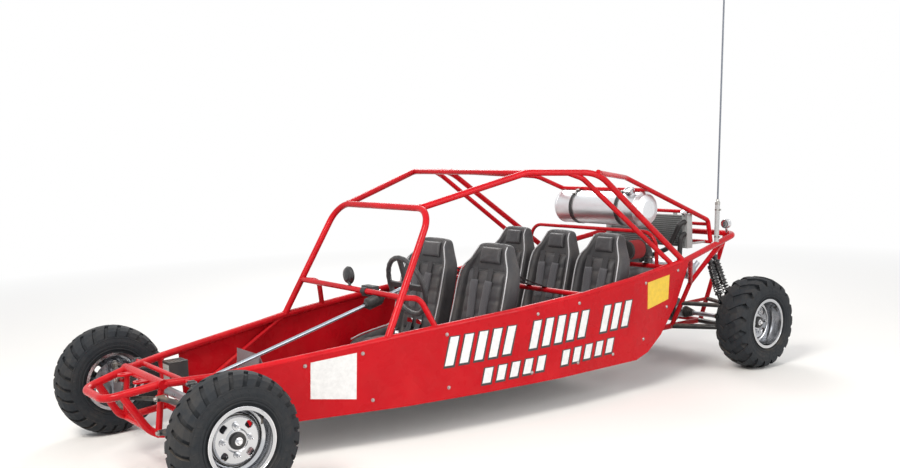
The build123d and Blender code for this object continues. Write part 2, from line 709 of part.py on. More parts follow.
def steering_wheel():
    """Wheel with three spokes on its long shaft down to the rack."""
    hub = column_point(WHEEL_STATION)
    axis = (hub - column_point(COLUMN_TIP)).normalized()
    shaft = rod(column_point(COLUMN_TIP), hub, SHAFT)
    across = Vector(1, 0, 0)
    plane = Plane(origin=hub, x_dir=across - axis * across.dot(axis), z_dir=axis)
    rim = plane * Rot(0, 0, 45) * Torus(WHEEL_RIM_RADIUS, WHEEL_RIM_TUBE / 2)
    pieces = [shaft, rim, rod(hub - axis * 12, hub + axis * 12, 70.0)]
    for angle in (0.0, 180.0, 270.0):
        tip = plane * Pos(WHEEL_RIM_RADIUS * cos(radians(angle)), WHEEL_RIM_RADIUS * sin(radians(angle)), 0)
        pieces.append(rod(hub, tip.position, 14.0))
    return fuse(pieces)


# Rear suspension

def rear_carrier(side):
    """Upright block that the rear hub turns in."""
    low = spot(WHEELBASE - 50.0, CARRIER_WIDTH - CARRIER_HALF, AXLE_HEIGHT - 85.0, side)
    high = spot(WHEELBASE + 50.0, CARRIER_WIDTH + CARRIER_HALF, CARRIER_TOP, side)
    centre = spot(WHEELBASE, CARRIER_WIDTH - 60.0, AXLE_HEIGHT, side)
    end = spot(WHEELBASE, CARRIER_WIDTH + 60.0, AXLE_HEIGHT, side)
    return box_at(low, high) - rod(centre, end, 2 * (25.0 + RUNNING))


def perch():
    """Line of the upper arm's outer run, which the shocks stand on."""
    return (WHEELBASE - 100.0, CARRIER_WIDTH - 52.0, 411.0), (WHEELBASE - 20.0, CARRIER_WIDTH, 400.0)


def rear_arms(side, brace, low_frame, carrier):
    """Lower arm and both tubes of the upper arm of one side."""
    low_end = spot(WHEELBASE, CARRIER_WIDTH, AXLE_HEIGHT - 60.0, side)
    lower = fuse([tube([spot(WHEELBASE + offset, CRADLE_WIDTH, CRADLE_HEIGHT, side), low_end], 36.0)
                  for offset in (-190.0, 110.0)])
    front, back = rear_uprights(side)
    near, far = [spot(*row, side) for row in perch()]
    upper = tube([at_height(*front, 408.0), near, far], 30.0, 60.0)
    link = tube([at_height(*back, PICKUP_HEIGHT), spot(WHEELBASE + 20.0, CARRIER_WIDTH, 390.0, side)], 30.0)
    return [cope(piece, carrier, low_frame, brace) for piece in (lower, upper, link)]


def drilled(disc, side, centre, offset):
    """Brake disc with two rings of holes."""
    holes = []
    for count in range(DISC_HOLES):
        turn = 2 * pi * count / DISC_HOLES
        radius = DISC_RADIUS - (12.0 if count % 2 else 30.0)
        hole = centre + Vector(side * offset, radius * cos(turn), radius * sin(turn))
        holes.append(rod(hole - Vector(10, 0, 0), hole + Vector(10, 0, 0), DISC_HOLE))
    return disc - holes


def half_shaft(side):
    """Hub, brake disc and half shaft that turn with a rear wheel."""
    middle = TRACK / 2
    joint = CARRIER_WIDTH - 85.0
    profile = [(140.0, 15.0), (150.0, 42.0), (215.0, 42.0), (240.0, 15.0), (joint - 10.0, 15.0),
               (joint, 40.0), (joint + 50.0, 40.0), (joint + 52.0, 25.0), (middle - 92.0, 25.0),
               (middle - 92.0, 30.0), (middle - 60.0, 30.0), (middle - 60.0, DISC_RADIUS),
               (middle - 54.0, DISC_RADIUS), (middle - 54.0, 34.0), (middle + 5.0, 34.0),
               (middle + 5.0, 60.0), (middle + REAR_DISC_FACE, 60.0), (middle + REAR_DISC_FACE, HUB_NOSE),
               (middle + 36.0, HUB_NOSE), (middle + 40.0, 30.0), (middle + 40.0, 0.0), (140.0, 0.0)]
    centre = spot(WHEELBASE, 0.0, AXLE_HEIGHT)
    return drilled(ring(profile, centre, side), side, centre, middle - 57.0)


def front_hub(side):
    """Hub and brake disc that turn with a front wheel."""
    bore = SPINDLE_RADIUS + RUNNING
    profile = [(-62.0, bore), (-62.0, 34.0), (DISC_OFFSET, 34.0), (DISC_OFFSET, DISC_RADIUS),
               (DISC_OFFSET + DISC_THICK, DISC_RADIUS), (DISC_OFFSET + DISC_THICK, 34.0), (0.0, 34.0),
               (0.0, 58.0), (FRONT_DISC_FACE, 58.0), (FRONT_DISC_FACE, HUB_NOSE), (42.0, HUB_NOSE),
               (46.0, 30.0), (46.0, 0.0),
               (14.0, 0.0), (14.0, bore)]
    centre = spot(0.0, TRACK / 2, AXLE_HEIGHT, side)
    return drilled(ring(profile, centre, side), side, centre, DISC_OFFSET + DISC_THICK / 2)


def shock(top, low, spring, reach=16.0):
    """Coil-over: eyes, body, rod and a spring drawn as a ribbed sleeve."""
    line = low - top
    length = line.length
    axis = line.normalized()
    plane = Plane(origin=top, z_dir=axis)
    eye = 16.0
    start = 42.0
    stop = length - 60.0
    step = (stop - start) / COILS
    points = [(0, eye), (14, eye), (14, start), (spring - 8, start)]
    for turn in range(COILS):
        begin = start + turn * step
        points += [(spring, begin + 0.3 * step), (spring, begin + 0.6 * step),
                   (spring - 9, begin + step)]
    points += [(16, stop), (16, length - 22.0), (10, length - 12.0), (0, length - 12.0)]
    face = make_face(Polyline(*[(r, 0, d) for r, d in points], close=True))
    body = plane * revolve(face, axis=Axis.Z)
    along = Vector(0, 16.0, 0)
    wide = Vector(0, reach, 0)
    return fuse([body, rod(top - along, top + along, 34.0), rod(low - wide, low + wide, 30.0)])


def front_shock(side, bay):
    """Slanted coil-over from the front bay's bar down to the lower arm."""
    top = on_belt(0.0, side) + Vector(side * FRONT_SHOCK_REACH, 0, 0)
    foot = spot(0.0, FRONT_SHOCK_FOOT, FRONT_SHOCK_FOOT_HEIGHT, side)
    return cope(shock(top, foot, SPRING_RADIUS + 4.0, FRONT_SHOCK_EYE), bay)


def rear_shocks(side, brace, arms):
    """Pair of coil-overs from the shock bar down to the upper arm."""
    start, end = shock_bar(side)
    near, far = [spot(*row, side) for row in perch()]
    pieces = []
    for station, share_low in zip(SHOCK_STATIONS, (0.04, 0.74)):
        share = (FRONT_AXLE_Y + station - start.Y) / (end.Y - start.Y)
        hang = between(start, end, share) - Vector(0, 0, LIGHT_TUBE / 2 + 14.0)
        foot = between(near, far, share_low) + Vector(0, 0, 28.0)
        pieces.append(cope(shock(hang, foot, SPRING_RADIUS), brace, *arms))
    return pieces


# Wheels

def tyre_profile(width, radius, rim_width):
    """Section of a tyre round its bead seats: offset, radius."""
    half = width / 2
    inner = BEAD_RADIUS + CLEARANCE
    bead = rim_width / 2 - 10.0
    side = [(bead, inner), (bead, RIM_LIP_RADIUS + 8.0), (half - 4.0, RIM_LIP_RADIUS + 30.0),
            (half, RIM_LIP_RADIUS + 62.0),
            (half - 4.0, radius - 48.0), (half - 16.0, radius - 24.0), (0.56 * half, radius - 7.0),
            (0.22 * half, radius)]
    return side + [(-offset, height) for offset, height in side[::-1]]


def tread_groove(half, width, inner):
    """Cutter for one groove, from near the middle of the tread over the shoulder."""
    deep = TYRE_DIAMETER / 2 - LUG_DEPTH
    out = half + 12.0
    top = TYRE_DIAMETER / 2 + 12.0
    points = [(inner, top), (inner, deep), (0.56 * half, deep - 4.0), (half - 20.0, deep - 22.0),
              (half - 5.0, deep - 52.0), (out, deep - 58.0), (out, top)]
    face = make_face(Polyline(*[(offset, 0, radius) for offset, radius in points], close=True))
    return extrude(face, width / 2, dir=(0, 1, 0), both=True)


def tyre(centre, width, rim_width, axle):
    """Tyre as a ring of rubber with its lugs left standing between slanted grooves."""
    body = ring(tyre_profile(width, TYRE_DIAMETER / 2, rim_width), Vector(0, 0, 0))
    count, groove, slant, inner = TREAD[axle]
    cuts = []
    for side in (1, -1):
        cutter = tread_groove(width / 2, groove, inner)
        if side == -1:
            cutter = cutter.rotate(Axis.Z, 180)
        cutter = cutter.rotate(Axis.Z, -side * slant)
        shift = 0.0 if side == 1 else (0.5 if axle == "front" else 0.0)
        cuts += [cutter.rotate(Axis.X, 360.0 * (turn + shift) / count) for turn in range(count)]
    return (body - cuts).moved(Location(centre))


def rim(centre, width, side, face):
    """Steel rim with lips, bead seats, a drop centre and a disc with windows and stud pads."""
    half = width / 2
    lip = RIM_LIP_RADIUS
    seat = BEAD_RADIUS
    drop = DROP_RADIUS
    wall = RIM_WALL
    outer = [(-half, lip), (-half + 6.0, lip), (-half + 8.0, seat), (-half + 48.0, seat - 4.0),
             (-half + 62.0, drop), (-half + 98.0, drop), (-half + 114.0, seat - 4.0),
             (half - 8.0, seat), (half - 6.0, lip), (half, lip)]
    inner = [(offset, radius - wall) for offset, radius in outer[1:-1]]
    inner[0] = (-half, seat - wall)
    inner[-1] = (half, seat - wall)
    barrel = ring(outer + inner[::-1], Vector(0, 0, 0), side)
    root = -half + 80.0
    bore = HUB_NOSE + CLEARANCE
    disc = [(root, drop - 2.0), (root + 6.0, drop - 2.0), (face + 4.0, 114.0), (face + 10.0, 104.0),
            (face + 10.0, 56.0), (face + 15.0, 48.0), (face + 15.0, bore), (face, bore), (face, 98.0),
            (face - 5.0, 110.0)]
    wheel = barrel + ring(disc, Vector(0, 0, 0), side)
    window = extrude(Plane.YZ * RectangleRounded(36.0, 32.0, 11.0), 60.0, both=True)
    window = window.moved(Location((side * face, 0, WINDOW_RADIUS)))
    pad = rod((side * (face + 9.0), 0, STUD_RADIUS), (side * (face + 16.0), 0, STUD_RADIUS), 38.0)
    nut = extrude(Plane.YZ * RegularPolygon(11.0, 6), side * 17.0)
    nut = nut.moved(Location((side * (face + 15.0), 0, STUD_RADIUS)))
    for quarter in range(4):
        wheel = wheel - window.rotate(Axis.X, 45.0 + 90.0 * quarter)
        wheel = wheel + (pad + nut).rotate(Axis.X, 90.0 * quarter)
    return wheel.moved(Location(centre))


def box_at(low, high):
    """Block between two corners."""
    size = high - low
    block = Box(abs(size.X), abs(size.Y), abs(size.Z))
    return block.moved(Location((low + high) * 0.5))


# Engine bay

def engine():
    """Upright four-cylinder engine with pulleys, intake runners and a round air filter."""
    points = ENGINE_SECTION + [(-x, z) for x, z in ENGINE_SECTION[-2:0:-1]]
    outline = make_face(Polyline(*[(x, FRONT_AXLE_Y + ENGINE_FRONT, z) for x, z in points], close=True))
    body = extrude(outline, ENGINE_BACK - ENGINE_FRONT, dir=(0, 1, 0))
    pitch = (ENGINE_BACK - ENGINE_FRONT) / CYLINDERS
    slots = []
    for side in (1, -1):
        for rib in range(2 * CYLINDERS - 1):
            middle = ENGINE_FRONT + (rib + 1) * pitch / 2
            slots.append(box_at(spot(middle - 11.0, 126.0 - RIB_DEPTH, 390.0, side),
                                spot(middle + 11.0, 140.0, 530.0, side)))
    body = body - slots
    for offset, height, radius in PULLEYS:
        hub = spot(ENGINE_FRONT - 42.0, offset, height)
        body = body + rod(hub, hub + Vector(0, 16, 0), 2 * radius)
        body = body + rod(hub, hub + Vector(0, 60, 0), 0.9 * radius)
    offset, height, radius = PULLEYS[1]
    body = body + rod(spot(ENGINE_FRONT - 18.0, offset, height),
                      spot(ENGINE_FRONT + 110.0, offset, height), 120.0)
    x, z, width = PLENUM
    body = body + rod(spot(ENGINE_FRONT + 20.0, x, z), spot(ENGINE_BACK - 30.0, x, z), width)
    for cylinder in range(CYLINDERS):
        middle = ENGINE_FRONT + (cylinder + 0.5) * pitch
        runner = [spot(middle, 90.0, 610.0), spot(middle, x, 610.0), spot(middle, x, z)]
        body = body + tube(runner, 38.0, 30.0)
    neck = ENGINE_BACK - 70.0
    elbow = [spot(neck, x, z), spot(neck, x, FILTER[1]), spot(neck - 90.0, *FILTER[:2])]
    body = body + tube(elbow, 60.0, 50.0)
    return body + rod(spot(neck - 230.0, *FILTER[:2]), spot(neck - 90.0, *FILTER[:2]), 2 * FILTER[2])


def transaxle(low_frame):
    """Final drive behind the engine with its bell housing and an output on each side."""
    bell = tube([spot(ENGINE_BACK, 0, 372.0), spot(ENGINE_BACK + 70.0, 0, 372.0)], 290.0)
    face = make_face(Polyline(*[(0, FRONT_AXLE_Y + ENGINE_BACK + s, z) for s, z in FINAL_DRIVE], close=True))
    case = extrude(face, FINAL_HALF, dir=(1, 0, 0), both=True)
    reach = OUTPUT_REACH - CLEARANCE
    pieces = [bell, case]
    for half, diameter in ((reach, 110.0), (reach - 24.0, 160.0)):
        ends = [spot(WHEELBASE, half, AXLE_HEIGHT, side) for side in (-1, 1)]
        pieces.append(rod(*ends, diameter))
    return cope(fuse(pieces), low_frame)


def exhaust(motor):
    """Four stubs into one pipe on the right side, back to a silencer across the tail."""
    reach, station, height = SILENCER
    pitch = (ENGINE_BACK - ENGINE_FRONT) / CYLINDERS
    side = EXHAUST_SIDE
    low = EXHAUST_HEIGHT
    pipe = tube([spot(ENGINE_FRONT + 0.5 * pitch, side, low), spot(ENGINE_BACK - 20.0, side, low),
                 spot(WHEELBASE - 120.0, side + 30.0, height), spot(station, side + 50.0, height)],
                50.0, 80.0)
    pieces = [pipe]
    for cylinder in range(CYLINDERS):
        middle = ENGINE_FRONT + (cylinder + 0.5) * pitch
        stub = [spot(middle, -90.0, 630.0), spot(middle, side, 630.0), spot(middle, side, low)]
        pieces.append(tube(stub, 34.0, 30.0))
    profile = [(-reach, 0.0), (-reach, 50.0), (12.0 - reach, 64.0), (reach - 12.0, 64.0), (reach, 50.0),
               (reach, 0.0)]
    pieces.append(ring(profile, spot(station, 0.0, height)))
    tail = spot(station, 130.0, height)
    pieces.append(tube([tail, tail + Vector(0, 110, 0), tail + Vector(0, 160, 40)], 44.0, 30.0))
    return cope(fuse(pieces), motor)


def tank_centre():
    """Middle of the tank, which lies against the underside of its bar."""
    bar = on_stay(TANK_STATION)
    return Vector(0, bar.Y, bar.Z - LIGHT_TUBE / 2 - TANK_RADIUS)


def fuel_tank():
    """Round tank across the car under its bar, with its filler neck."""
    r = TANK_RADIUS
    end = TANK_REACH
    profile = [(-end, 0.0), (-end, 0.5 * r), (14.0 - end, 0.85 * r), (38.0 - end, r), (end - 38.0, r),
               (end - 14.0, 0.85 * r), (end, 0.5 * r), (end, 0.0)]
    middle = tank_centre()
    neck = middle + Vector(300.0, -0.4 * r, 0.8 * r)
    return ring(profile, middle) + rod(neck, neck + Vector(0, -30.0, 44.0), 62.0)


def tank_straps(bars):
    """Bands round the tank, welded to its bar."""
    straps = []
    inner = TANK_RADIUS + CLEARANCE / 2
    for place in STRAP_PLACES:
        profile = [(-17.0, inner), (-17.0, inner + 3.0), (17.0, inner + 3.0), (17.0, inner)]
        straps.append(cope(ring(profile, tank_centre() + Vector(place, 0, 0)), *bars))
    return straps


def radiator_bar(stays):
    """Cross bar between the stays that the radiator hangs from."""
    ends = [on_stay(RADIATOR_STATION, side) for side in (1, -1)]
    return cope(tube(ends, LIGHT_TUBE), stays[1], stays[-1])


def radiator(bar, low_bar):
    """Core with side tanks and filler neck, hung from its bar and tied back to the low bar."""
    top = on_stay(RADIATOR_STATION).Z
    core = RADIATOR_REACH - SIDE_TANK
    low = spot(RADIATOR_STATION - 17.0, core, RADIATOR_LOW + 8.0, -1)
    pieces = [box_at(low, spot(RADIATOR_STATION + 17.0, core, top - 26.0))]
    for side in (1, -1):
        pieces.append(box_at(spot(RADIATOR_STATION - 27.0, core, RADIATOR_LOW, side),
                             spot(RADIATOR_STATION + 27.0, RADIATOR_REACH, top - 18.0, side)))
        lug = spot(RADIATOR_STATION, 0.75 * core, top - 30.0, side)
        pieces.append(box_at(lug - Vector(16, 4, 0), lug + Vector(16, 4, 24)))
        foot = spot(RADIATOR_STATION + 24.0, core + 12.0, RADIATOR_LOW + 26.0, side)
        pieces.append(rod(foot, spot(LOW_BAR, core + 12.0, LOW_BAR_HEIGHT, side), 16.0))
    neck = spot(RADIATOR_STATION - 8.0, core + 20.0, top - 30.0)
    pieces.append(rod(neck, neck + Vector(0, -26, 34), 34.0))
    return cope(fuse(pieces), bar, low_bar)


def radiator_hoses(core, motor):
    """Hoses from the radiator's left side tank down to the engine."""
    hoses = []
    for route in HOSE_ROUTES:
        hoses.append(cope(tube([spot(*row) for row in route], HOSE, [HOSE, 70.0, 45.0]), core, motor))
    return hoses


def side_cut(outline, station, width, middle):
    """Solid of a side outline across a width."""
    face = make_face(Polyline(*[(0, FRONT_AXLE_Y + station + s, z) for s, z in outline], close=True))
    return extrude(face, width, dir=(1, 0, 0)).moved(Location((middle - width / 2, 0, 0)))


def seat_shell(station, width, middle):
    """Bucket seat: base, high back and side bolsters in one shell with a narrow head."""
    pieces = [side_cut(SHELL_OUTLINE, station, width, middle)]
    for side in (1, -1):
        edge = middle + side * (width - BOLSTER_WIDTH) / 2
        pieces.append(side_cut(BOLSTER_OUTLINE, station, BOLSTER_WIDTH, edge))
    half = width / 2
    points = [(middle + half * share, z) for share, z in SEAT_FACE]
    points += [(middle - half * share, z) for share, z in SEAT_FACE[::-1]]
    face = make_face(Polyline(*[(x, FRONT_AXLE_Y + station - 50.0, z) for x, z in points], close=True))
    return fuse(pieces) & extrude(face, 800.0, dir=(0, 1, 0))


def seat_pad(station, width, middle):
    """Cushion of a seat, lying in the shell."""
    pad = side_cut(PAD_OUTLINE, station, width - 2 * BOLSTER_WIDTH - 2.0, middle)
    return pad.moved(Location((0, 0, CLEARANCE)))


def seats(station, width, middles):
    """Row of seat shells and the cushions that lie in them."""
    shells = Compound(children=[seat_shell(station, width, middle) for middle in middles])
    pads = Compound(children=[seat_pad(station, width, middle) for middle in middles])
    return shells, pads


def seat_bars(belts):
    """Cross bars behind the two rows of seats, and the shoulder hoop on the rear one."""
    bars = []
    for station in (FRONT_SEAT_BAR, SHOULDER_BAR):
        bars.append(cope(tube([on_belt(station, 1), on_belt(station, -1)], BRACE_TUBE), *belts.values()))
    low = on_belt(SHOULDER_BAR).Z
    points = [spot(SHOULDER_BAR, SHOULDER_REACH, height, side)
              for height, side in ((low, 1), (SHOULDER_HEIGHT, 1), (SHOULDER_HEIGHT, -1), (low, -1))]
    bars.append(cope(tube(points, LIGHT_TUBE, SHOULDER_BEND), bars[1]))
    return bars


def cabin_brace(side, belt, low):
    """Diagonal in the side wall, from the bottom rail up to the foot of the front hoop."""
    return cope(tube([on_floor_rail(PANEL_FRONT, side), on_belt(PILLAR_FOOT, side)], LIGHT_TUBE), belt, low)


def whip(side, belt):
    """Flag whip: holder on the belt rail, and the thin mast in it, leaning back a little."""
    foot = on_belt(WHIP_STATION, side)
    up = Vector(0, WHIP_LEAN, 1).normalized()
    head = foot + up * WHIP_HOLDER
    holder = cope(rod(foot, head, 32.0), belt)
    return holder, rod(head, head + up * WHIP_LENGTH, 12.0)


def rear_lamp(bar):
    """Round lamp on its stalk at the rear bar's corner."""
    middle = spot(REAR_BAR - 25.0, TAIL_WIDTH - 60.0, TAIL_HEIGHT + 70.0)
    stalk = rod(spot(REAR_BAR - 14.0, TAIL_WIDTH - 60.0, TAIL_HEIGHT + 8.0), middle, 20.0)
    half = Vector(0, LAMP_LENGTH / 2, 0)
    return cope(rod(middle - half, middle + half, LAMP_DIAMETER) + stalk, bar)


def battery_box(bay, belt):
    """Box inside the far wall, standing against the bay's post."""
    block = box_at(spot(BAY_HALF, BOX_OUTER, BOX_LOW, -1),
                   spot(BAY_HALF + BOX_LENGTH, BOX_INNER, BOX_HIGH, -1))
    return cope(block, bay, belt)


def heel_board():
    """Folded sheet that the far passenger's heels stand against."""
    outer = [(430.0, FLOOR_TOP), (450.0, 530.0), (585.0, FLOOR_TOP)]
    inner = [(434.0, FLOOR_TOP - 1.0), (452.0, 512.0), (579.0, FLOOR_TOP - 1.0)]
    shapes = []
    for outline in (outer, inner):
        face = make_face(Polyline(*[(-70.0, FRONT_AXLE_Y + s, z) for s, z in outline], close=True))
        shapes.append(extrude(face, 260.0, dir=(1, 0, 0)))
    return shapes[0] - shapes[1]


def pedals():
    """Three pedals on their cross shaft between two brackets on the floor, and the heel board."""
    first, last = BRACKET_PLACES
    shaft = rod(spot(PEDAL_STATION, first, PEDAL_SHAFT_HEIGHT),
                spot(PEDAL_STATION, last + 2.0, PEDAL_SHAFT_HEIGHT), 16.0)
    pieces = [shaft]
    for place in BRACKET_PLACES:
        pieces.append(box_at(spot(PEDAL_STATION - 18.0, place, FLOOR_TOP),
                             spot(PEDAL_STATION + 18.0, place + 5.0, PEDAL_SHAFT_HEIGHT + 18.0)))
    for place, wide in PEDAL_PADS:
        pad = spot(PEDAL_STATION - 26.0, place, PEDAL_PAD_HEIGHT)
        pieces.append(rod(spot(PEDAL_STATION, place, PEDAL_SHAFT_HEIGHT), pad, 12.0))
        pieces.append(box_at(pad - Vector(wide / 2, 4, 30), pad + Vector(wide / 2, 4, 30)))
    return [fuse(pieces), heel_board()]


def gear_lever():
    """Lever with its knob on a box between the front seats."""
    base = box_at(spot(LEVER_STATION - 58.0, 30.0, FLOOR_TOP, -1), spot(LEVER_STATION + 50.0, 30.0, 290.0))
    stick = tube([spot(LEVER_STATION, 0.0, 280.0), spot(KNOB_STATION, 0.0, KNOB_HEIGHT - 10.0)], 14.0)
    return fuse([base, stick, Location(spot(KNOB_STATION, 0.0, KNOB_HEIGHT)) * Sphere(KNOB_RADIUS)])


def mirror(hoop):
    """Round mirror with a domed back on a stalk from the dash bar."""
    bar = dash_end()
    middle = Vector(0, bar.Y + 4.0, bar.Z + 72.0)
    profile = [(0.0, -20.0), (26.0, -17.0), (44.0, -8.0), (50.0, 4.0), (50.0, 10.0), (0.0, 10.0)]
    face = make_face(Polyline(*[(r, d, 0) for r, d in profile], close=True))
    glass = revolve(face, axis=Axis.Y).moved(Location(middle))
    return cope(glass + rod(Vector(30.0, bar.Y, bar.Z), middle + Vector(8, -6, -10), 16.0), hoop)


def save(pieces):
    """Write each piece as a file of its own name."""
    os.makedirs("parts", exist_ok=True)
    for name, piece in pieces.items():
        export_step(piece, f"parts/{name}.step")


def main():
    """Build the whole car."""
    parts = {}
    nose = nose_frame()
    parts["nose_frame"] = nose
    belts = both(lambda side: belt_rail(side, nose))
    lows = both(lambda side: bottom_rail(side, nose, belts[side]))
    bay = front_bay(nose, belts, lows)
    hoop = windshield_hoop(belts)
    roofs = both(lambda side: roof_rail(side, hoop, belts[side]))
    stays = both(lambda side: rear_stay(side, roofs[side]))
    bar, low_bar, post_bar = tail_frame(stays)
    braces = both(lambda side: rear_brace(side, belts[side], bar))
    low_frame = cradle(lows, braces)
    carriers = both(rear_carrier)
    roof_bar, tank_bar = roof_bars(roofs, stays)
    core_bar = radiator_bar(stays)
    parts["front_bay"] = bay
    parts["windshield_hoop"] = hoop
    parts["cross_bars"] = Compound(children=[roof_bar, tank_bar, core_bar] + seat_bars(belts))
    parts["tail_bars"] = Compound(children=[bar, low_bar, post_bar])
    parts["cabin_braces"] = Compound(children=[
        cabin_brace(side, belts[side], lows[side]) for side in (1, -1)])
    parts["engine_cradle"] = low_frame
    parts["floor_pan"] = floor_pan()
    parts["tie_rods"] = tie_rods()
    rack = steering_rack()
    parts["steering_rack"] = Compound(children=[rack, column_ring(hoop)] + rack_saddles(bay, rack))
    parts["steering_wheel"] = steering_wheel()
    parts["pedals"] = Compound(children=pedals())
    parts["gear_lever"] = gear_lever()
    parts["mirror"] = mirror(hoop)
    motor = engine()
    core = radiator(core_bar, low_bar)
    parts["engine"] = motor
    parts["exhaust"] = exhaust(motor)
    parts["transaxle"] = transaxle(low_frame)
    parts["fuel_tank"] = fuel_tank()
    parts["tank_straps"] = Compound(children=tank_straps([tank_bar]))
    parts["radiator"] = core
    parts["radiator_hoses"] = Compound(children=radiator_hoses(core, motor))
    parts["battery_box"] = battery_box(bay, belts[-1])
    parts["rear_lamp"] = rear_lamp(bar)
    parts["whip_holder"], parts["whip_mast"] = whip(1, belts[1])
    arms = both(lambda side: front_arms(side, bay))
    parts["front_arms"] = Compound(children=arms[1] + arms[-1])
    parts["front_shocks"] = Compound(children=[
        cope(front_shock(side, bay), *arms[side]) for side in (1, -1)])
    parts["rear_carriers"] = Compound(children=[carriers[1], carriers[-1]])
    links = both(lambda side: rear_arms(side, braces[side], low_frame, carriers[side]))
    shocks = both(lambda side: rear_shocks(side, braces[side], links[side] + [carriers[side]]))
    parts["rear_arms"] = Compound(children=links[1] + links[-1])
    parts["rear_shocks"] = Compound(children=shocks[1] + shocks[-1])
    for name, station, width, middles in SEAT_TABLE:
        shells, pads = seats(station, width, middles)
        parts[name] = shells
        parts[name.replace("seats", "cushions")] = pads
    for side, word in ((1, "left"), (-1, "right")):
        parts[f"belt_rail_{word}"] = belts[side]
        parts[f"bottom_rail_{word}"] = lows[side]
        parts[f"roof_rail_{word}"] = roofs[side]
        parts[f"rear_stay_{word}"] = stays[side]
        parts[f"rear_brace_{word}"] = braces[side]
        parts[f"side_panel_{word}"] = side_panel(side)
        parts[f"knuckle_{word}"] = knuckle(side)
        parts[f"front_hub_{word}"] = front_hub(side)
        parts[f"half_shaft_{word}"] = half_shaft(side)
        for axle, station, width, rim_width, face in (
                ("front", 0.0, FRONT_TYRE_WIDTH, FRONT_RIM_WIDTH, FRONT_DISC_FACE),
                ("rear", WHEELBASE, REAR_TYRE_WIDTH, REAR_RIM_WIDTH, REAR_DISC_FACE)):
            centre = spot(station, TRACK / 2, AXLE_HEIGHT, side)
            parts[f"{axle}_tyre_{word}"] = tyre(centre, width, rim_width, axle)
            parts[f"{axle}_rim_{word}"] = rim(centre, rim_width, side, face)
    save(parts)


main()
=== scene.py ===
import json
from math import cos, pi, radians, sin, sqrt

import bmesh
import bpy
from mathutils import Matrix, Vector, noise
from mathutils.bvhtree import BVHTree


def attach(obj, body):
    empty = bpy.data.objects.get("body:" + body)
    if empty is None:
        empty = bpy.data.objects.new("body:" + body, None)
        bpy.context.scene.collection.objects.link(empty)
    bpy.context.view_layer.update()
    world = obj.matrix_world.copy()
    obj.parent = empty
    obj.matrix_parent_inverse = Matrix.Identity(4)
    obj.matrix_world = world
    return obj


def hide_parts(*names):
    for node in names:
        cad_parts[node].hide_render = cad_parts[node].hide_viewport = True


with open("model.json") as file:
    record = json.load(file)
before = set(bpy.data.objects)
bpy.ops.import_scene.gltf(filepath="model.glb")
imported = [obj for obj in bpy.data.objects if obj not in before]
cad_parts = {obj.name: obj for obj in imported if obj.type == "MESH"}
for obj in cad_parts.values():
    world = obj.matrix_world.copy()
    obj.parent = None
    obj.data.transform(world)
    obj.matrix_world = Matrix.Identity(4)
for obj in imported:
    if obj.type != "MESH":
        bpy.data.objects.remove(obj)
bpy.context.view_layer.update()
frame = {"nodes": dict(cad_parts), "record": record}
nodes = frame["nodes"]

# Layout in metres. Stations are measured back from the front axle, as in the part's source.
WHEELBASE = 3.85
TRACK = 1.615
AXLE_HEIGHT = 0.31
NOSE_REACH = 0.375
LENGTH = NOSE_REACH + WHEELBASE + AXLE_HEIGHT
FRONT_AXLE_Y = NOSE_REACH - LENGTH / 2
SIDES = ((1, "left"), (-1, "right"))
ACROSS = Vector((1, 0, 0))
BACK = Vector((0, 1, 0))
UP = Vector((0, 0, 1))

# Tube radii of the frame
BELT = 0.020
HOOP = 0.019
BRACE = 0.016
LIGHT = 0.0125
CROSS = 0.024
TWIN = 0.0188

# Rails of the frame: station, half width, height
BELT_RAIL = [
    (-0.100, 0.235, 0.479), (0.150, 0.354, 0.494), (0.830, 0.518, 0.559), (1.010, 0.562, 0.579),
    (1.800, 0.680, 0.635), (2.320, 0.710, 0.669), (2.730, 0.716, 0.712), (3.320, 0.660, 0.774),
    (3.990, 0.552, 0.886),
]
BOTTOM_RAIL = [
    (0.250, 0.335, 0.229), (0.540, 0.420, 0.229), (1.100, 0.570, 0.229), (1.600, 0.650, 0.229),
    (2.100, 0.698, 0.229), (2.760, 0.698, 0.229),
]
REAR_STAY = [(3.010, 0.425, 1.330), (3.880, 0.400, 0.985)]


def spot(station, width, height, side=1):
    """Point of the car from its station, half width and height."""
    return Vector((side * width, FRONT_AXLE_Y + station, height))


def rail_at(rail, station, side=1):
    """Point of a rail at a station, and the direction in which it runs there."""
    for first, second in zip(rail, rail[1:]):
        if station <= second[0]:
            break
    share = (station - first[0]) / (second[0] - first[0])
    start, end = spot(*first, side), spot(*second, side)
    return start.lerp(end, share), (end - start).normalized()


# Mesh code

def around(axis):
    """Two directions square to an axis and to each other."""
    other = UP if abs(axis.z) < 0.9 else ACROSS
    first = axis.cross(other).normalized()
    return first, axis.cross(first).normalized()


def turns(steps, phase=0.0):
    """Angles of even steps round a circle. The phase is in steps."""
    return [2 * pi * (step + phase) / steps for step in range(steps)]


def circle(centre, across, over, radius, steps, phase=0.0):
    """Points of a circle in the plane of two directions."""
    return [centre + (across * cos(turn) + over * sin(turn)) * radius for turn in turns(steps, phase)]


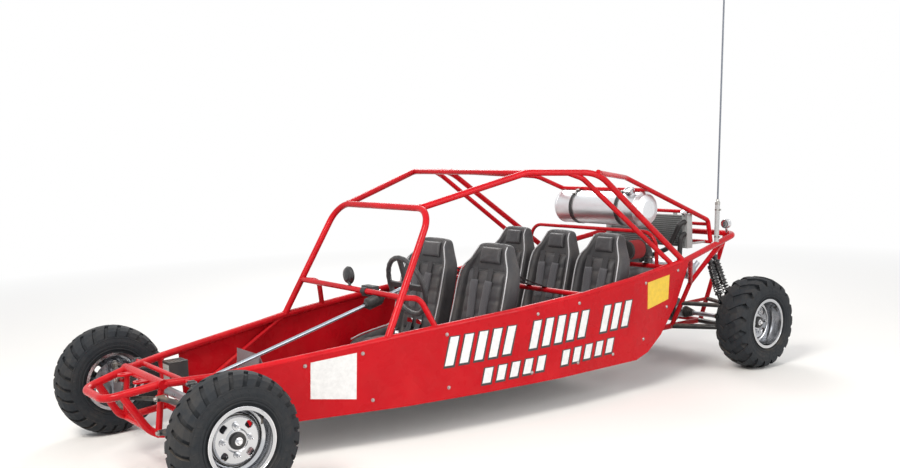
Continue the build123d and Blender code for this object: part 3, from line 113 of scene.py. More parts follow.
class Shape:
    """Mesh gathered from simple forms before it becomes one piece."""

    def __init__(self):
        self.points = []
        self.faces = []

    def grid(self, rows, wrap=False, loop=False, caps=False):
        """Skin over rows of points. Wrap closes each row, loop joins the last row to the first."""
        base, wide, tall = len(self.points), len(rows[0]), len(rows)
        for row in rows:
            self.points += [Vector(point) for point in row]
        for i in range(tall if loop else tall - 1):
            for j in range(wide if wrap else wide - 1):
                i2, j2 = (i + 1) % tall, (j + 1) % wide
                self.faces.append([base + i * wide + j, base + i * wide + j2,
                                   base + i2 * wide + j2, base + i2 * wide + j])
        if caps:
            self.faces.append([base + j for j in range(wide)][::-1])
            self.faces.append([base + (tall - 1) * wide + j for j in range(wide)])
        return self

    def turned(self, profile, centre, axis, steps=24):
        """Skin turned about an axis, from points of distance along it and radius."""
        axis = axis.normalized()
        sides = around(axis)
        return self.grid([circle(centre + axis * along, *sides, radius, steps)
                          for along, radius in profile], wrap=True)

    def lathe(self, centre, axis, steps, *values, start=0.0, radius=0.0):
        """Skin turned about an axis, from pairs in mm: distance beyond the start and added radius."""
        pairs = zip(values[::2], values[1::2])
        return self.turned([(start + along / 1000, radius + more / 1000) for along, more in pairs],
                           centre, axis, steps)

    def band(self, centre, axis, steps, middle, half, inner, outer):
        """Square-edged ring about an axis."""
        low, high = middle - half, middle + half
        return self.turned([(low, inner), (low, outer), (high, outer), (high, inner)],
                           centre, axis, steps)

    def tube(self, points, radius, steps=8, loop=False):
        """Round tube along a line of points, with one radius or one for each point."""
        count = len(points)
        radii = radius if isinstance(radius, list) else [radius] * count
        rows = []
        across = None
        for index, point in enumerate(points):
            before = points[index - 1] if index or loop else point
            after = points[(index + 1) % count] if index + 1 < count or loop else point
            axis = (after - before).normalized()
            if across is None:
                across = around(axis)[0]
            across = (across - axis * across.dot(axis)).normalized()
            rows.append(circle(point, across, axis.cross(across), radii[index], steps))
        return self.grid(rows, wrap=True, loop=loop, caps=not loop)

    def strip(self, points, normals, width, thick):
        """Flat band along a line of points, with its broad face square to the normals."""
        rows = []
        for index, (point, normal) in enumerate(zip(points, normals)):
            before, after = points[max(index - 1, 0)], points[min(index + 1, len(points) - 1)]
            side = (after - before).cross(normal).normalized() * (width / 2)
            lift = normal.normalized() * thick
            rows.append([point - side, point + side, point + side + lift, point - side + lift])
        return self.grid(rows, wrap=True, caps=True)

    def block(self, centre, size, axes=(ACROSS, BACK, UP), edge=0.0015):
        """Block with bevelled edges."""
        made = bmesh.new()
        bmesh.ops.create_cube(made, size=1.0)
        for vertex in made.verts:
            vertex.co = Vector(a * b for a, b in zip(vertex.co, size))
        bmesh.ops.bevel(made, geom=list(made.edges), offset=edge, segments=2, profile=0.5,
                        affect="EDGES")
        base = len(self.points)
        for vertex in made.verts:
            x, y, z = vertex.co
            self.points.append(centre + axes[0] * x + axes[1] * y + axes[2] * z)
        self.faces += [[base + vertex.index for vertex in face.verts] for face in made.faces]
        made.free()
        return self

    def bolt(self, centre, axis, size):
        """Hexagon head of a width across its corners, on its washer."""
        head = 0.5 * size
        self.turned([(0, 0), (0, 0.72 * size), (0.10 * size, 0.70 * size), (0.10 * size, 0)],
                    centre, axis, 20)
        self.turned([(0.05 * size, 0), (0.05 * size, head), (0.50 * size, head),
                     (0.60 * size, 0.80 * head), (0.60 * size, 0)], centre, axis, 6)
        return self

    def piece(self, name, slot, look="", smooth=40.0, level=0, bevel=0.0, body="chassis"):
        """One object from what was gathered, which rides on a body. The slot names its look unless a
        look is given.
        """
        data = bpy.data.meshes.new(name)
        made = bmesh.new()
        verts = [made.verts.new(point) for point in self.points]
        for face in self.faces:
            if len(set(face)) > 2:
                made.faces.new([verts[index] for index in face])
        bmesh.ops.remove_doubles(made, verts=made.verts, dist=1e-6)
        bmesh.ops.recalc_face_normals(made, faces=made.faces)
        made.to_mesh(data)
        made.free()
        data.shade_smooth()
        if smooth < 180:
            data.set_sharp_from_angle(angle=radians(smooth))
        data.materials.append(looks[look or slot])
        made = bpy.data.objects.new(name, data)
        bpy.context.scene.collection.objects.link(made)
        if bevel:
            cut = made.modifiers.new("edges", "BEVEL")
            cut.width = bevel
            cut.segments = 2
            cut.limit_method = "ANGLE"
        if level:
            made.modifiers.new("smooth", "SUBSURF").levels = level
            made.modifiers["smooth"].render_levels = level
        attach(made, body)
        return made


def curve_points(points, count):
    """Smooth line through a few points."""
    found = []
    spans = len(points) - 1
    steps = max(2, count // spans)
    for span in range(spans):
        a, b, c, d = [points[min(max(span + k, 0), spans)] for k in (-1, 0, 1, 2)]
        for step in range(steps):
            t = step / steps
            found.append(0.5 * (2 * b + (c - a) * t + (2 * a - 5 * b + 4 * c - d) * t * t
                                + (3 * b - a - 3 * c + d) * t ** 3))
    return found + [points[-1].copy()]


# Materials

def link(tree, source, target):
    """Join two sockets."""
    tree.links.new(source, target)


def node(tree, kind, **values):
    """Shader node with its inputs set by name."""
    made = tree.nodes.new(kind)
    for key, value in values.items():
        name = key.replace("_", " ")
        if name in made.inputs:
            made.inputs[name].default_value = value
        else:
            setattr(made, key, value)
    return made


def base_material(name, colour, rough, metal=0.0, coat=0.0, gloss=0.5):
    """Principled material, with its tree and shader."""
    made = bpy.data.materials.new(name)
    made.use_nodes = True
    tree = made.node_tree
    shader = tree.nodes["Principled BSDF"]
    values = {"Base Color": (*colour, 1.0), "Roughness": rough, "Metallic": metal, "Coat Weight": coat,
              "Coat Roughness": 0.06, "Specular IOR Level": gloss}
    for key, value in values.items():
        shader.inputs[key].default_value = value
    return made, tree, shader


def place(tree):
    """Object coordinates, which are the car's own frame."""
    return node(tree, "ShaderNodeTexCoord").outputs["Object"]


def texture(tree, kind, output, **values):
    """Output of a texture in object coordinates."""
    made = node(tree, kind, **values)
    link(tree, place(tree), made.inputs["Vector"])
    return made.outputs[output]


def grain(tree, scale, detail=4.0, rough=0.55):
    """Noise value at a scale, per metre."""
    return texture(tree, "ShaderNodeTexNoise", "Fac", Scale=scale, Detail=detail, Roughness=rough)


def ribs(tree, scale, axis="X", twist=0.0):
    """Fine parallel ribs along an axis."""
    return texture(tree, "ShaderNodeTexWave", "Fac", Scale=scale, Distortion=twist,
                   bands_direction=axis)


def ramp(tree, value, low, high, start=0.0, end=1.0):
    """Value stretched so that low gives the start and high gives the end."""
    made = node(tree, "ShaderNodeMapRange", From_Min=low, From_Max=high, To_Min=start, To_Max=end)
    link(tree, value, made.inputs["Value"])
    return made.outputs["Result"]


def mix(tree, share, first, second):
    """Colour mixed from two colours or sockets by a share."""
    made = node(tree, "ShaderNodeMix", data_type="RGBA")
    link(tree, share, made.inputs["Factor"])
    for socket, value in ((made.inputs[6], first), (made.inputs[7], second)):
        if isinstance(value, tuple):
            socket.default_value = (*value, 1.0)
        else:
            link(tree, value, socket)
    return made.outputs[2]


def maths(tree, operation, first, second):
    """Result of one operation on two values or sockets."""
    made = node(tree, "ShaderNodeMath", operation=operation)
    for socket, value in zip(made.inputs, (first, second)):
        if isinstance(value, (int, float)):
            socket.default_value = value
        else:
            link(tree, value, socket)
    return made.outputs[0]


def bumped(tree, shader, height, strength, distance=0.001):
    """Surface relief from a height value."""
    made = node(tree, "ShaderNodeBump", Strength=strength, Distance=distance)
    link(tree, height, made.inputs["Height"])
    link(tree, made.outputs["Normal"], shader.inputs["Normal"])


def dust_share(tree, amount, ceiling=0.75):
    """Share of sand dust: more on surfaces that face up and near the ground."""
    heights = []
    for source in (node(tree, "ShaderNodeNewGeometry").outputs["Normal"], place(tree)):
        split = node(tree, "ShaderNodeSeparateXYZ")
        link(tree, source, split.inputs[0])
        heights.append(split.outputs["Z"])
    up, low = ramp(tree, heights[0], -0.2, 1.0), ramp(tree, heights[1], ceiling, 0.0)
    patches = ramp(tree, grain(tree, 9.0, 6.0, 0.7), 0.42, 0.72)
    share = maths(tree, "MULTIPLY", maths(tree, "MULTIPLY", up, low), patches)
    return maths(tree, "MULTIPLY", share, amount)


DUST = (0.55, 0.43, 0.31)


def dusted(tree, shader, tone, amount, ceiling=0.75):
    """Colour of a shader, with dust on it."""
    link(tree, mix(tree, dust_share(tree, amount, ceiling), tone, DUST), shader.inputs["Base Color"])


def surface(name, colour, dark, rough=0.28, coat=0.0, dust=0.5, metal=0.0, fine=260.0, relief=0.08,
            patch=3.5, gloss=0.5, wear=5.0):
    """Finish with a slow change of tone, a varied gloss, fine relief and dust."""
    made, tree, shader = base_material(name, colour, rough, metal, coat, gloss)
    dusted(tree, shader, mix(tree, ramp(tree, grain(tree, patch), 0.35, 0.7), dark, colour), dust)
    worn = ramp(tree, grain(tree, 14.0, wear), 0.2, 0.8)
    worn = ramp(tree, worn, 0.0, 1.0, rough * 0.7, min(1.0, rough * 1.5))
    link(tree, worn, shader.inputs["Roughness"])
    bumped(tree, shader, grain(tree, fine, 2.0), relief)
    return made


def rubber(name, colour, stained, dust):
    """Tyre rubber: matt, with fine pits and sand held in its lower parts."""
    made, tree, shader = base_material(name, colour, 0.72, gloss=0.3)
    stain = maths(tree, "MULTIPLY", ramp(tree, grain(tree, 22.0, 6.0, 0.7), 0.38, 0.78), dust)
    dusted(tree, shader, mix(tree, stain, colour, stained), 0.25)
    bumped(tree, shader, grain(tree, 420.0, 4.0), 0.35, 0.0008)
    return made


def leather(name, colour, light):
    """Grained vinyl of the seats, duller where it is worn."""
    made, tree, shader = base_material(name, colour, 0.52)
    worn = ramp(tree, grain(tree, 7.0, 5.0), 0.45, 0.8)
    dusted(tree, shader, mix(tree, worn, colour, light), 0.35, 1.2)
    shader.inputs["Sheen Weight"].default_value = 0.12
    cells = texture(tree, "ShaderNodeTexVoronoi", "Distance", Scale=420.0, feature="DISTANCE_TO_EDGE")
    bumped(tree, shader, ramp(tree, cells, 0.0, 0.25), 0.30, 0.0006)
    return made


def webbing(name, colour, light):
    """Woven band with ribs across and along it."""
    made, tree, shader = base_material(name, colour, 0.8)
    weave = maths(tree, "MULTIPLY", ribs(tree, 160.0, "X"), ribs(tree, 220.0, "Z"))
    link(tree, mix(tree, weave, colour, light), shader.inputs["Base Color"])
    shader.inputs["Sheen Weight"].default_value = 0.25
    bumped(tree, shader, weave, 0.5, 0.0008)
    return made


def plain(name, colour, rough, metal=0.0, coat=0.0, relief=0.05):
    """Clean finish with fine relief and a slight change of tone."""
    made, tree, shader = base_material(name, colour, rough, metal, coat)
    dark = tuple(0.82 * value for value in colour)
    link(tree, mix(tree, ramp(tree, grain(tree, 40.0, 5.0), 0.3, 0.75), dark, colour),
         shader.inputs["Base Color"])
    bumped(tree, shader, grain(tree, 500.0, 3.0), relief)
    return made


def brushed(name, colour, rough, axis, scale=240.0):
    """Bare metal with fine lines along one axis."""
    made, tree, shader = base_material(name, colour, rough, 1.0)
    lines = ribs(tree, scale, axis, 6.0)
    dark = tuple(0.80 * value for value in colour)
    share = maths(tree, "MULTIPLY", lines, ramp(tree, grain(tree, 12.0), 0.2, 0.8))
    link(tree, mix(tree, share, colour, dark), shader.inputs["Base Color"])
    bumped(tree, shader, lines, 0.05, 0.0004)
    return made


def diamond_plate(name, colour):
    """Floor sheet with a raised pattern and dust."""
    made, tree, shader = base_material(name, colour, 0.42, 0.9)
    pattern = maths(tree, "MULTIPLY", ramp(tree, ribs(tree, 22.0, "DIAGONAL"), 0.6, 0.9),
                    ramp(tree, ribs(tree, 22.0, "X"), 0.5, 0.8))
    dusted(tree, shader, colour, 1.0)
    bumped(tree, shader, pattern, 0.6, 0.002)
    return made


RED = (0.56, 0.006, 0.012)
PANEL_RED = (0.50, 0.005, 0.011)
RED_DARK = (0.42, 0.004, 0.009)
COAL = (0.020, 0.020, 0.022)
COAL_DARK = (0.011, 0.011, 0.012)
CHROME = (0.60, 0.61, 0.63)
CHROME_DARK = (0.45, 0.46, 0.48)
STEEL = (0.52, 0.53, 0.56)
STEEL_DARK = (0.38, 0.39, 0.42)

# What surface takes after the name: colours, roughness, coat, dust, metal, grain, relief, patches
SURFACES = {
    "arm_black": (COAL, COAL_DARK, 0.40, 0.2, 0.9),
    "shock_black": (COAL, COAL_DARK, 0.35, 0.3, 0.4),
    "wheel_chrome": (CHROME, CHROME_DARK, 0.16, 0.0, 0.25, 1.0, 90.0, 0.02),
    "bare_steel": (STEEL, STEEL_DARK, 0.30, 0.0, 0.4, 1.0),
    "engine_cast": ((0.16, 0.16, 0.165), (0.07, 0.07, 0.072), 0.5, 0.0, 0.4, 0.7, 180.0, 0.35, 9.0),
    "radiator_metal": ((0.50, 0.52, 0.51), (0.38, 0.40, 0.39), 0.45, 0.0, 0.3, 0.4),
    "box_black": ((0.03, 0.03, 0.032), (0.02, 0.02, 0.021), 0.55, 0.0, 0.5),
    "lamp_chrome": (CHROME, CHROME_DARK, 0.18, 0.0, 0.2, 1.0),
    "holder_grey": ((0.42, 0.42, 0.42), (0.34, 0.34, 0.34), 0.5, 0.0, 0.2),
    "hose_black": ((0.02, 0.02, 0.02), (0.014, 0.014, 0.014), 0.5, 0.0, 0.3),
    "strap_black": (COAL, COAL_DARK, 0.42, 0.1, 0.2),
    "mirror_black": (COAL, COAL_DARK, 0.35, 0.2, 0.2),
    "shaft_steel": ((0.44, 0.50, 0.55), (0.30, 0.34, 0.38), 0.30, 0.0, 0.1, 0.9),
}

# What plain takes after the name: colour, roughness, metal, coat, relief
PLAIN = {
    "chrome": ((0.82, 0.82, 0.84), 0.10, 1.0, 0.0, 0.02),
    "zinc": ((0.40, 0.39, 0.37), 0.36, 1.0),
    "piping_grey": ((0.50, 0.50, 0.51), 0.5),
    "white_film": ((0.78, 0.78, 0.77), 0.35, 0.0, 0.4),
    "black_film": ((0.015, 0.015, 0.016), 0.35, 0.0, 0.4),
    "yellow_film": ((0.80, 0.52, 0.015), 0.35, 0.0, 0.4),
    "red_glass": ((0.50, 0.01, 0.01), 0.08, 0.0, 1.0),
    "mirror_glass": ((0.75, 0.77, 0.80), 0.03, 1.0, 0.0, 0.0),
    "cast_bright": ((0.34, 0.34, 0.35), 0.42, 0.85, 0.0, 0.2),
    "filter_cloth": ((0.30, 0.020, 0.022), 0.8, 0.0, 0.0, 0.4),
    "fin_metal": ((0.46, 0.49, 0.48), 0.45, 0.6),
    # The radiator's fins and the sheet behind them are dark as painted shade of the core's depth
    "fins_painted_shade": ((0.17, 0.18, 0.18), 0.5, 0.2),
    # Rods and eye bolts of the shocks: chrome parts made dark as painted shade inside the springs
    "rod_painted_shade": ((0.13, 0.13, 0.14), 0.32, 0.9),
    "case_grey": ((0.36, 0.38, 0.36), 0.45, 0.0, 0.1),
    "bolt_steel": ((0.42, 0.38, 0.37), 0.40, 1.0),
}

# Looks by name. Each slot of the CAD has the look of its own name
looks = {name: surface(name, *values) for name, values in SURFACES.items()}
looks.update({name: plain(name, *values) for name, values in PLAIN.items()})
looks.update({
    "frame_paint": surface("frame_red", RED, RED_DARK, 0.24, 0.04, 0.12, relief=0.005, gloss=0.16,
                           wear=1.0),
    "panel_red": surface("panel_red", PANEL_RED, RED_DARK, 0.26, 0.03, 0.20, relief=0.005, gloss=0.12,
                         wear=1.0),
    "mast_white": surface("mast_grey", (0.13, 0.15, 0.18), (0.10, 0.11, 0.14), 0.35, 0.3, 0.1),
    "floor_metal": diamond_plate("floor_metal", (0.42, 0.42, 0.44)),
    "tyre_rubber": rubber("tyre_rubber", (0.011, 0.014, 0.018), (0.15, 0.13, 0.11), 0.07),
    "tank_metal": brushed("tank_metal", (0.76, 0.77, 0.79), 0.38, "X"),
    "seat_black": leather("seat_black", (0.020, 0.020, 0.023), (0.040, 0.040, 0.044)),
    "seat_cloth": leather("seat_cloth", (0.030, 0.030, 0.034), (0.055, 0.055, 0.060)),
    "strap_cloth": webbing("strap_cloth", (0.016, 0.016, 0.018), (0.05, 0.05, 0.055)),
    "pad_cloth": webbing("pad_cloth", (0.050, 0.050, 0.056), (0.11, 0.11, 0.12)),
})

slot_of = {part["node"]: part["material_slot"] for part in frame["record"]["subparts"]}
for name, piece in nodes.items():
    look = "shaft_steel" if name == "steering_wheel" else slot_of[name]
    for place_of in piece.material_slots:
        place_of.link = "OBJECT"
        place_of.material = looks[look]


# Seats

# Rows of seats: station of the shells' front edge, width, middles of the seats, bar behind them
SEAT_ROWS = {
    "front": (1.420, 0.480, (0.300, -0.300), (2.320, 0.669)),
    "rear": (2.250, 0.400, (0.440, 0.0, -0.440), (3.100, 0.751)),
}
BOLSTER = 0.052
PAN_HEIGHT = 0.300
BACK_FOOT = 0.390
BACK_LEAN = 0.2457
BACK_NORMAL = Vector((0, -0.971, 0.239))

# Seat bucket from its front lip to its head: inner face (distance behind the front edge, height),
# outer face, share of the half width, height of the bolsters over the inner face
BUCKET = [
    ((0.006, 0.294), (0.006, 0.250), 0.95, 0.020),
    ((0.030, 0.300), (0.024, 0.214), 1.00, 0.062),
    ((0.130, 0.300), (0.130, 0.210), 1.00, 0.088),
    ((0.290, 0.300), (0.290, 0.210), 1.00, 0.112),
    ((0.362, 0.306), (0.404, 0.213), 1.00, 0.118),
    ((0.402, 0.352), (0.444, 0.262), 1.00, 0.094),
    ((0.422, 0.430), (0.482, 0.410), 1.00, 0.064),
    ((0.462, 0.595), (0.532, 0.580), 1.00, 0.052),
    ((0.501, 0.752), (0.577, 0.736), 0.99, 0.048),
    ((0.520, 0.830), (0.600, 0.814), 0.93, 0.038),
    ((0.534, 0.885), (0.616, 0.869), 0.74, 0.020),
    ((0.546, 0.932), (0.626, 0.918), 0.62, 0.012),
    ((0.562, 0.966), (0.624, 0.957), 0.58, 0.006),
    ((0.584, 0.984), (0.608, 0.980), 0.50, 0.000),
]

# Harness: webbing, shoulder belts (heights on the back, offset at the top and how it narrows) and
# their ends on the base cushion (distance behind the front edge, height, offset, tilt)
WEB_WIDTH = 0.046
WEB_THICK = 0.0022
BELT_HEIGHTS = (0.835, 0.760, 0.680, 0.600, 0.520, 0.450)
BELT_OFFSET = 0.070
BELT_TAPER = 0.055
BELT_ENDS = ((0.355, 0.412, 0.040, 0.6), (0.320, 0.392, 0.032, 0.9), (0.262, 0.391, 0.022, 1.0))
PAD_SPAN = slice(6, 24)
ADJUSTER_AT = 30


class Seat:
    """Places on one seat: its front edge's station, width and middle."""

    def __init__(self, station, width, middle):
        self.station = station
        self.half = width / 2
        self.pan = self.half - 1.12 * BOLSTER
        self.middle = middle

    def at(self, distance, height, x=0.0):
        """Point from the distance behind the front edge, height and offset from the middle."""
        return Vector((self.middle + x, FRONT_AXLE_Y + self.station + distance, height))

    def face(self, height, x):
        """Point of the inner face of the back at a height and an offset."""
        return self.at(BACK_FOOT + BACK_LEAN * (height - PAN_HEIGHT), height, x)

    def base(self, across, along):
        """Point and normal of the pan under the seat cushion."""
        return self.at(0.012 + 0.372 * along, PAN_HEIGHT, across * self.pan), UP

    def back(self, low, high, narrow, across, along):
        """Point and normal of the inner face of the back between two heights."""
        wide = self.pan * (1.0 - narrow * along)
        return self.face(low + (high - low) * along, across * wide), BACK_NORMAL

    def section(self, row):
        """Middle of the inner and the outer face at one row of the bucket, and the way between."""
        near, far = self.at(*row[0]), self.at(*row[1])
        return near, far, (near - far).normalized()


def bucket(seat):
    """Seat shell in one closed form, with a rounded bolster along each side."""
    rows = []
    for row in BUCKET:
        near, far, out = seat.section(row)
        share, rise = row[2:]
        deep = (near - far).length
        wide = seat.half * share
        edge = BOLSTER * min(1.0, share + 0.1)
        half = [(0.0, -deep), (0.55 * wide, -deep), (0.90 * wide, -0.94 * deep), (wide, -0.70 * deep),
                (wide, 0.30 * rise), (0.985 * wide, 0.80 * rise), (wide - 0.42 * edge, rise),
                (wide - 0.85 * edge, 0.88 * rise), (wide - 1.08 * edge, 0.45 * rise),
                (wide - 1.22 * edge, 0.0), (0.45 * wide, 0.0)]
        loop = half + [(0.0, 0.0)] + [(-x, n) for x, n in half[:0:-1]]
        rows.append([near + ACROSS * x + out * n for x, n in loop])
    return Shape().grid(rows, wrap=True, caps=True)


def pillow(place_at, thick, channels, count=(22, 34), groove=0.008, seed=0.0):
    """Crowned cushion on a patch, with sewn channels across it and slack at its corners."""
    top, low = [], []
    for i in range(count[1] + 1):
        along = i / count[1]
        v = 2 * along - 1
        line_top, line_low = [], []
        for j in range(count[0] + 1):
            u = 2 * j / count[0] - 1
            pull = 1 - 0.035 * (1 - v * v) * u ** 6
            point, normal = place_at(u * pull, along)
            round_off = max(0.0, (1 - abs(u) ** 7) * (1 - abs(v) ** 7)) ** 0.42
            height = thick * round_off * (1 + 0.16 * (1 - u * u) * (1 - v * v))
            for line in channels:
                height -= groove * round_off * pow(2.0, -((along - line) / 0.016) ** 2)
            folds = noise.noise(Vector((u * 2.6 + seed, v * 3.4, seed))) * 0.10 * thick
            line_top.append(point + normal * (height + folds * round_off))
            line_low.append(point)
        top.append(line_top)
        low.append(line_low)
    return Shape().grid(top).grid(low)


def welt(place_at, thick, radius, steps=26):
    """Welt round the foot of a cushion's crown."""
    points = []
    path = [(-1 + 2 * t / steps, 0.0) for t in range(steps)] + [(1, t / steps) for t in range(steps)]
    path += [(-u, 1.0 - along) for u, along in path]
    for u, along in path:
        v = 2 * along - 1
        inside = 0.985 * (1 - 0.035 * (1 - v * v) * abs(u) ** 6)
        point, normal = place_at(u * inside, 0.5 + 0.492 * v)
        points.append(point + normal * thick)
    return Shape().tube(points, radius, 6, loop=True)


def bolster_line(seat, side):
    """Line along the top of one bolster, from the front lip to the head."""
    points = []
    for row in BUCKET[1:-1]:
        near, _, out = seat.section(row)
        share, rise = row[2:]
        edge = BOLSTER * min(1.0, share + 0.1)
        points.append(near + ACROSS * side * (seat.half * share - 0.30 * edge) + out * (rise + 0.0005))
    return curve_points(points, 88)


def shell_seams(seat, shell):
    """Welts on the outside of the shell's back: one down each side and two across."""
    tree = BVHTree.FromObject(shell, bpy.context.evaluated_depsgraph_get())
    shape = Shape()

    def place_on(row, across):
        _, far, out = seat.section(row)
        start = far + ACROSS * across * seat.half * row[2] - out * 0.1
        found, normal, _, _ = tree.ray_cast(start, out)
        return found + normal * 0.0004

    for across in (0.70, -0.70):
        shape.tube(curve_points([place_on(row, across) for row in BUCKET[4:-2]], 48), 0.0030, 6)
    for row in (BUCKET[7], BUCKET[9]):
        shape.tube([place_on(row, 0.05 * step) for step in range(-14, 15)], 0.0030, 6)
    return shape


def belt_pad(shape, line, facing):
    """Soft sleeve round a stretch of a belt, rounded at its ends."""
    rows = []
    for index, (point, normal) in enumerate(zip(line, facing)):
        before, after = line[max(index - 1, 0)], line[min(index + 1, len(line) - 1)]
        cross = (after - before).cross(normal).normalized()
        share = 2 * index / (len(line) - 1) - 1
        puff = 0.011 * max(0.06, 1 - abs(share) ** 6) ** 0.5
        ring = []
        for turn in turns(12):
            x, n = cos(turn), sin(turn)
            ring.append(point + normal * 0.001 + cross * 0.033 * (abs(x) ** 0.45) * (1 if x > 0 else -1)
                        + normal * puff * (abs(n) ** 0.8) * (1 if n > 0 else -1))
        rows.append(ring)
    shape.grid(rows, wrap=True, caps=True)


def harness(seat, bar):
    """Belts of one seat, as shapes for the bands, the metal and the pads."""
    bands, metal, pads = Shape(), Shape(), Shape()
    for side in (1, -1):
        line, normals = [], []
        for height in BELT_HEIGHTS:
            x = side * (BELT_OFFSET - BELT_TAPER * (BELT_HEIGHTS[0] - height))
            line.append(seat.face(height, x) + BACK_NORMAL * 0.046)
            normals.append(BACK_NORMAL)
        for distance, height, x, tilt in BELT_ENDS:
            line.append(seat.at(distance, height, side * x))
            normals.append(Vector((0, -(1 - tilt), tilt)).normalized())
        line, facing = curve_points(line, 48), curve_points(normals, 48)
        bands.strip(line, facing, WEB_WIDTH, WEB_THICK)
        belt_pad(pads, line[PAD_SPAN], facing[PAD_SPAN])
        out = facing[ADJUSTER_AT]
        metal.block(line[ADJUSTER_AT] + out * 0.004, (0.058, 0.030, 0.004),
                    (ACROSS, BACK_NORMAL.cross(ACROSS), out))
        station, height = bar
        start = seat.at(0.612, 0.812, side * BELT_OFFSET)
        anchor = Vector((start.x, FRONT_AXLE_Y + station, height + BRACE + 0.001))
        run = [start, start.lerp(anchor, 0.5) - UP * 0.006, anchor,
               anchor + Vector((0, 0.018, -0.012)), anchor + Vector((0, 0.020, -0.026))]
        bands.strip(run, [UP, UP, UP, Vector((0, 0.8, 0.6)), BACK], WEB_WIDTH, WEB_THICK)
        lap = [seat.at(0.395, 0.345, side * (seat.half - 1.15 * BOLSTER)),
               seat.at(0.350, 0.392, side * (seat.half - 1.25 * BOLSTER)),
               seat.at(0.300, 0.402, side * (0.60 * seat.half)), seat.at(0.245, 0.396, side * 0.030)]
        facing = [Vector((-side * 0.5, -0.3, 0.8)), Vector((-side * 0.3, 0, 1)), UP, UP]
        bands.strip(curve_points(lap, 24), curve_points(facing, 24), WEB_WIDTH, WEB_THICK)
        metal.block(seat.at(0.315, 0.405, side * 0.52 * seat.half), (0.034, 0.056, 0.005))
    buckle = seat.at(0.235, 0.394)
    metal.lathe(buckle, UP, 32, 0, 0, 0, 30, 10, 32, 18, 29, 20, 20, 17, 18, 17, 0)
    for angle in (30, 150, 210, 330):
        turn = radians(angle)
        reach = Vector((cos(turn), sin(turn), 0))
        metal.block(buckle + reach * 0.036 + UP * 0.006, (0.030, 0.022, 0.003),
                    (reach, reach.cross(UP), UP), 0.001)
    return bands, metal, pads


def seats():
    """Rows of bucket seats with cushions, piping and harness."""
    for row, (station, width, middles, bar) in SEAT_ROWS.items():
        for number, middle in enumerate(middles, 1):
            seat = Seat(station, width, middle)
            name = f"{row}_seat_{number}"
            shell = bucket(seat).piece(f"{name}_shell", "seat_black", smooth=180, level=2)
            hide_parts(f"{row}_seats")
            base = pillow(seat.base, 0.074, (0.30, 0.56, 0.80), seed=number)
            base = base.piece(f"{name}_base", "seat_black", "seat_cloth", 180, 1)
            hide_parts(f"{row}_cushions")

            def rest(across, along):
                return seat.back(0.392, 0.828, 0.05, across, along)

            def head(across, along):
                return seat.back(0.862, 0.962, 0.10, 0.56 * across, along)

            back = pillow(rest, 0.040, (0.20, 0.40, 0.60, 0.80), groove=0.007, seed=number + 5)
            back.piece(f"{name}_back", "seat_black", "seat_cloth", 180, 1)
            top = pillow(head, 0.020, (), (16, 12), seed=number + 9)
            top.piece(f"{name}_head", "seat_black", "seat_cloth", 180, 1)
            trim = Shape()
            for side in (1, -1):
                trim.tube(bolster_line(seat, side), 0.0040, 8)
            trim.piece(f"{name}_piping", "seat_black", "piping_grey")
            welt(seat.base, 0.030, 0.0032).piece(f"{name}_welt", "seat_black")
            shell_seams(seat, shell).piece(f"{name}_seams", "seat_black", "piping_grey")
            bands, metal, pads = harness(seat, bar)
            bands.piece(f"{name}_straps", "seat_black", "strap_cloth", 30)
            metal.piece(f"{name}_buckles", "bare_steel", "chrome")
            pads.piece(f"{name}_strap_pads", "seat_black", "pad_cloth", 180)


# Wheels

# Each axle: station, half width of the tyre, half width of the rim, disc's offset, hub's end
AXLES = {
    "front": (0.0, 0.100, 0.090, 0.019, 0.046),
    "rear": (WHEELBASE, 0.120, 0.110, 0.013, 0.040),
}

# Raised rings on a tyre's wall: radius, distance from the tyre's half width
WALL_RINGS = ((0.187, -0.0045), (0.206, -0.0025), (0.249, -0.0030))
WALL_BARS = 36
BAR_RADIUS = 0.2275
BAR_LEAN = 0.35
STUD_RADIUS = 0.067
VALVE_TURN = 0.9


def tyre_marks(centre, out, half):
    """Raised rings and short bars on both walls of a tyre."""
    shape = Shape()
    for way in (out, -out):
        for radius, inset in WALL_RINGS:
            shape.lathe(centre, way, 96, -6, -5.5, 1.2, -3, 1.8, 0, 1.2, 3, -6, 5.5,
                        start=half + inset, radius=radius)
        for turn in turns(WALL_BARS):
            radial = Vector((0, cos(turn), sin(turn)))
            lean = (radial + Vector((0, -sin(turn), cos(turn))) * BAR_LEAN).normalized()
            shape.block(centre + way * (half - 0.0022) + radial * BAR_RADIUS, (0.005, 0.028, 0.006),
                        (way, lean, lean.cross(way)), 0.0012)
    return shape


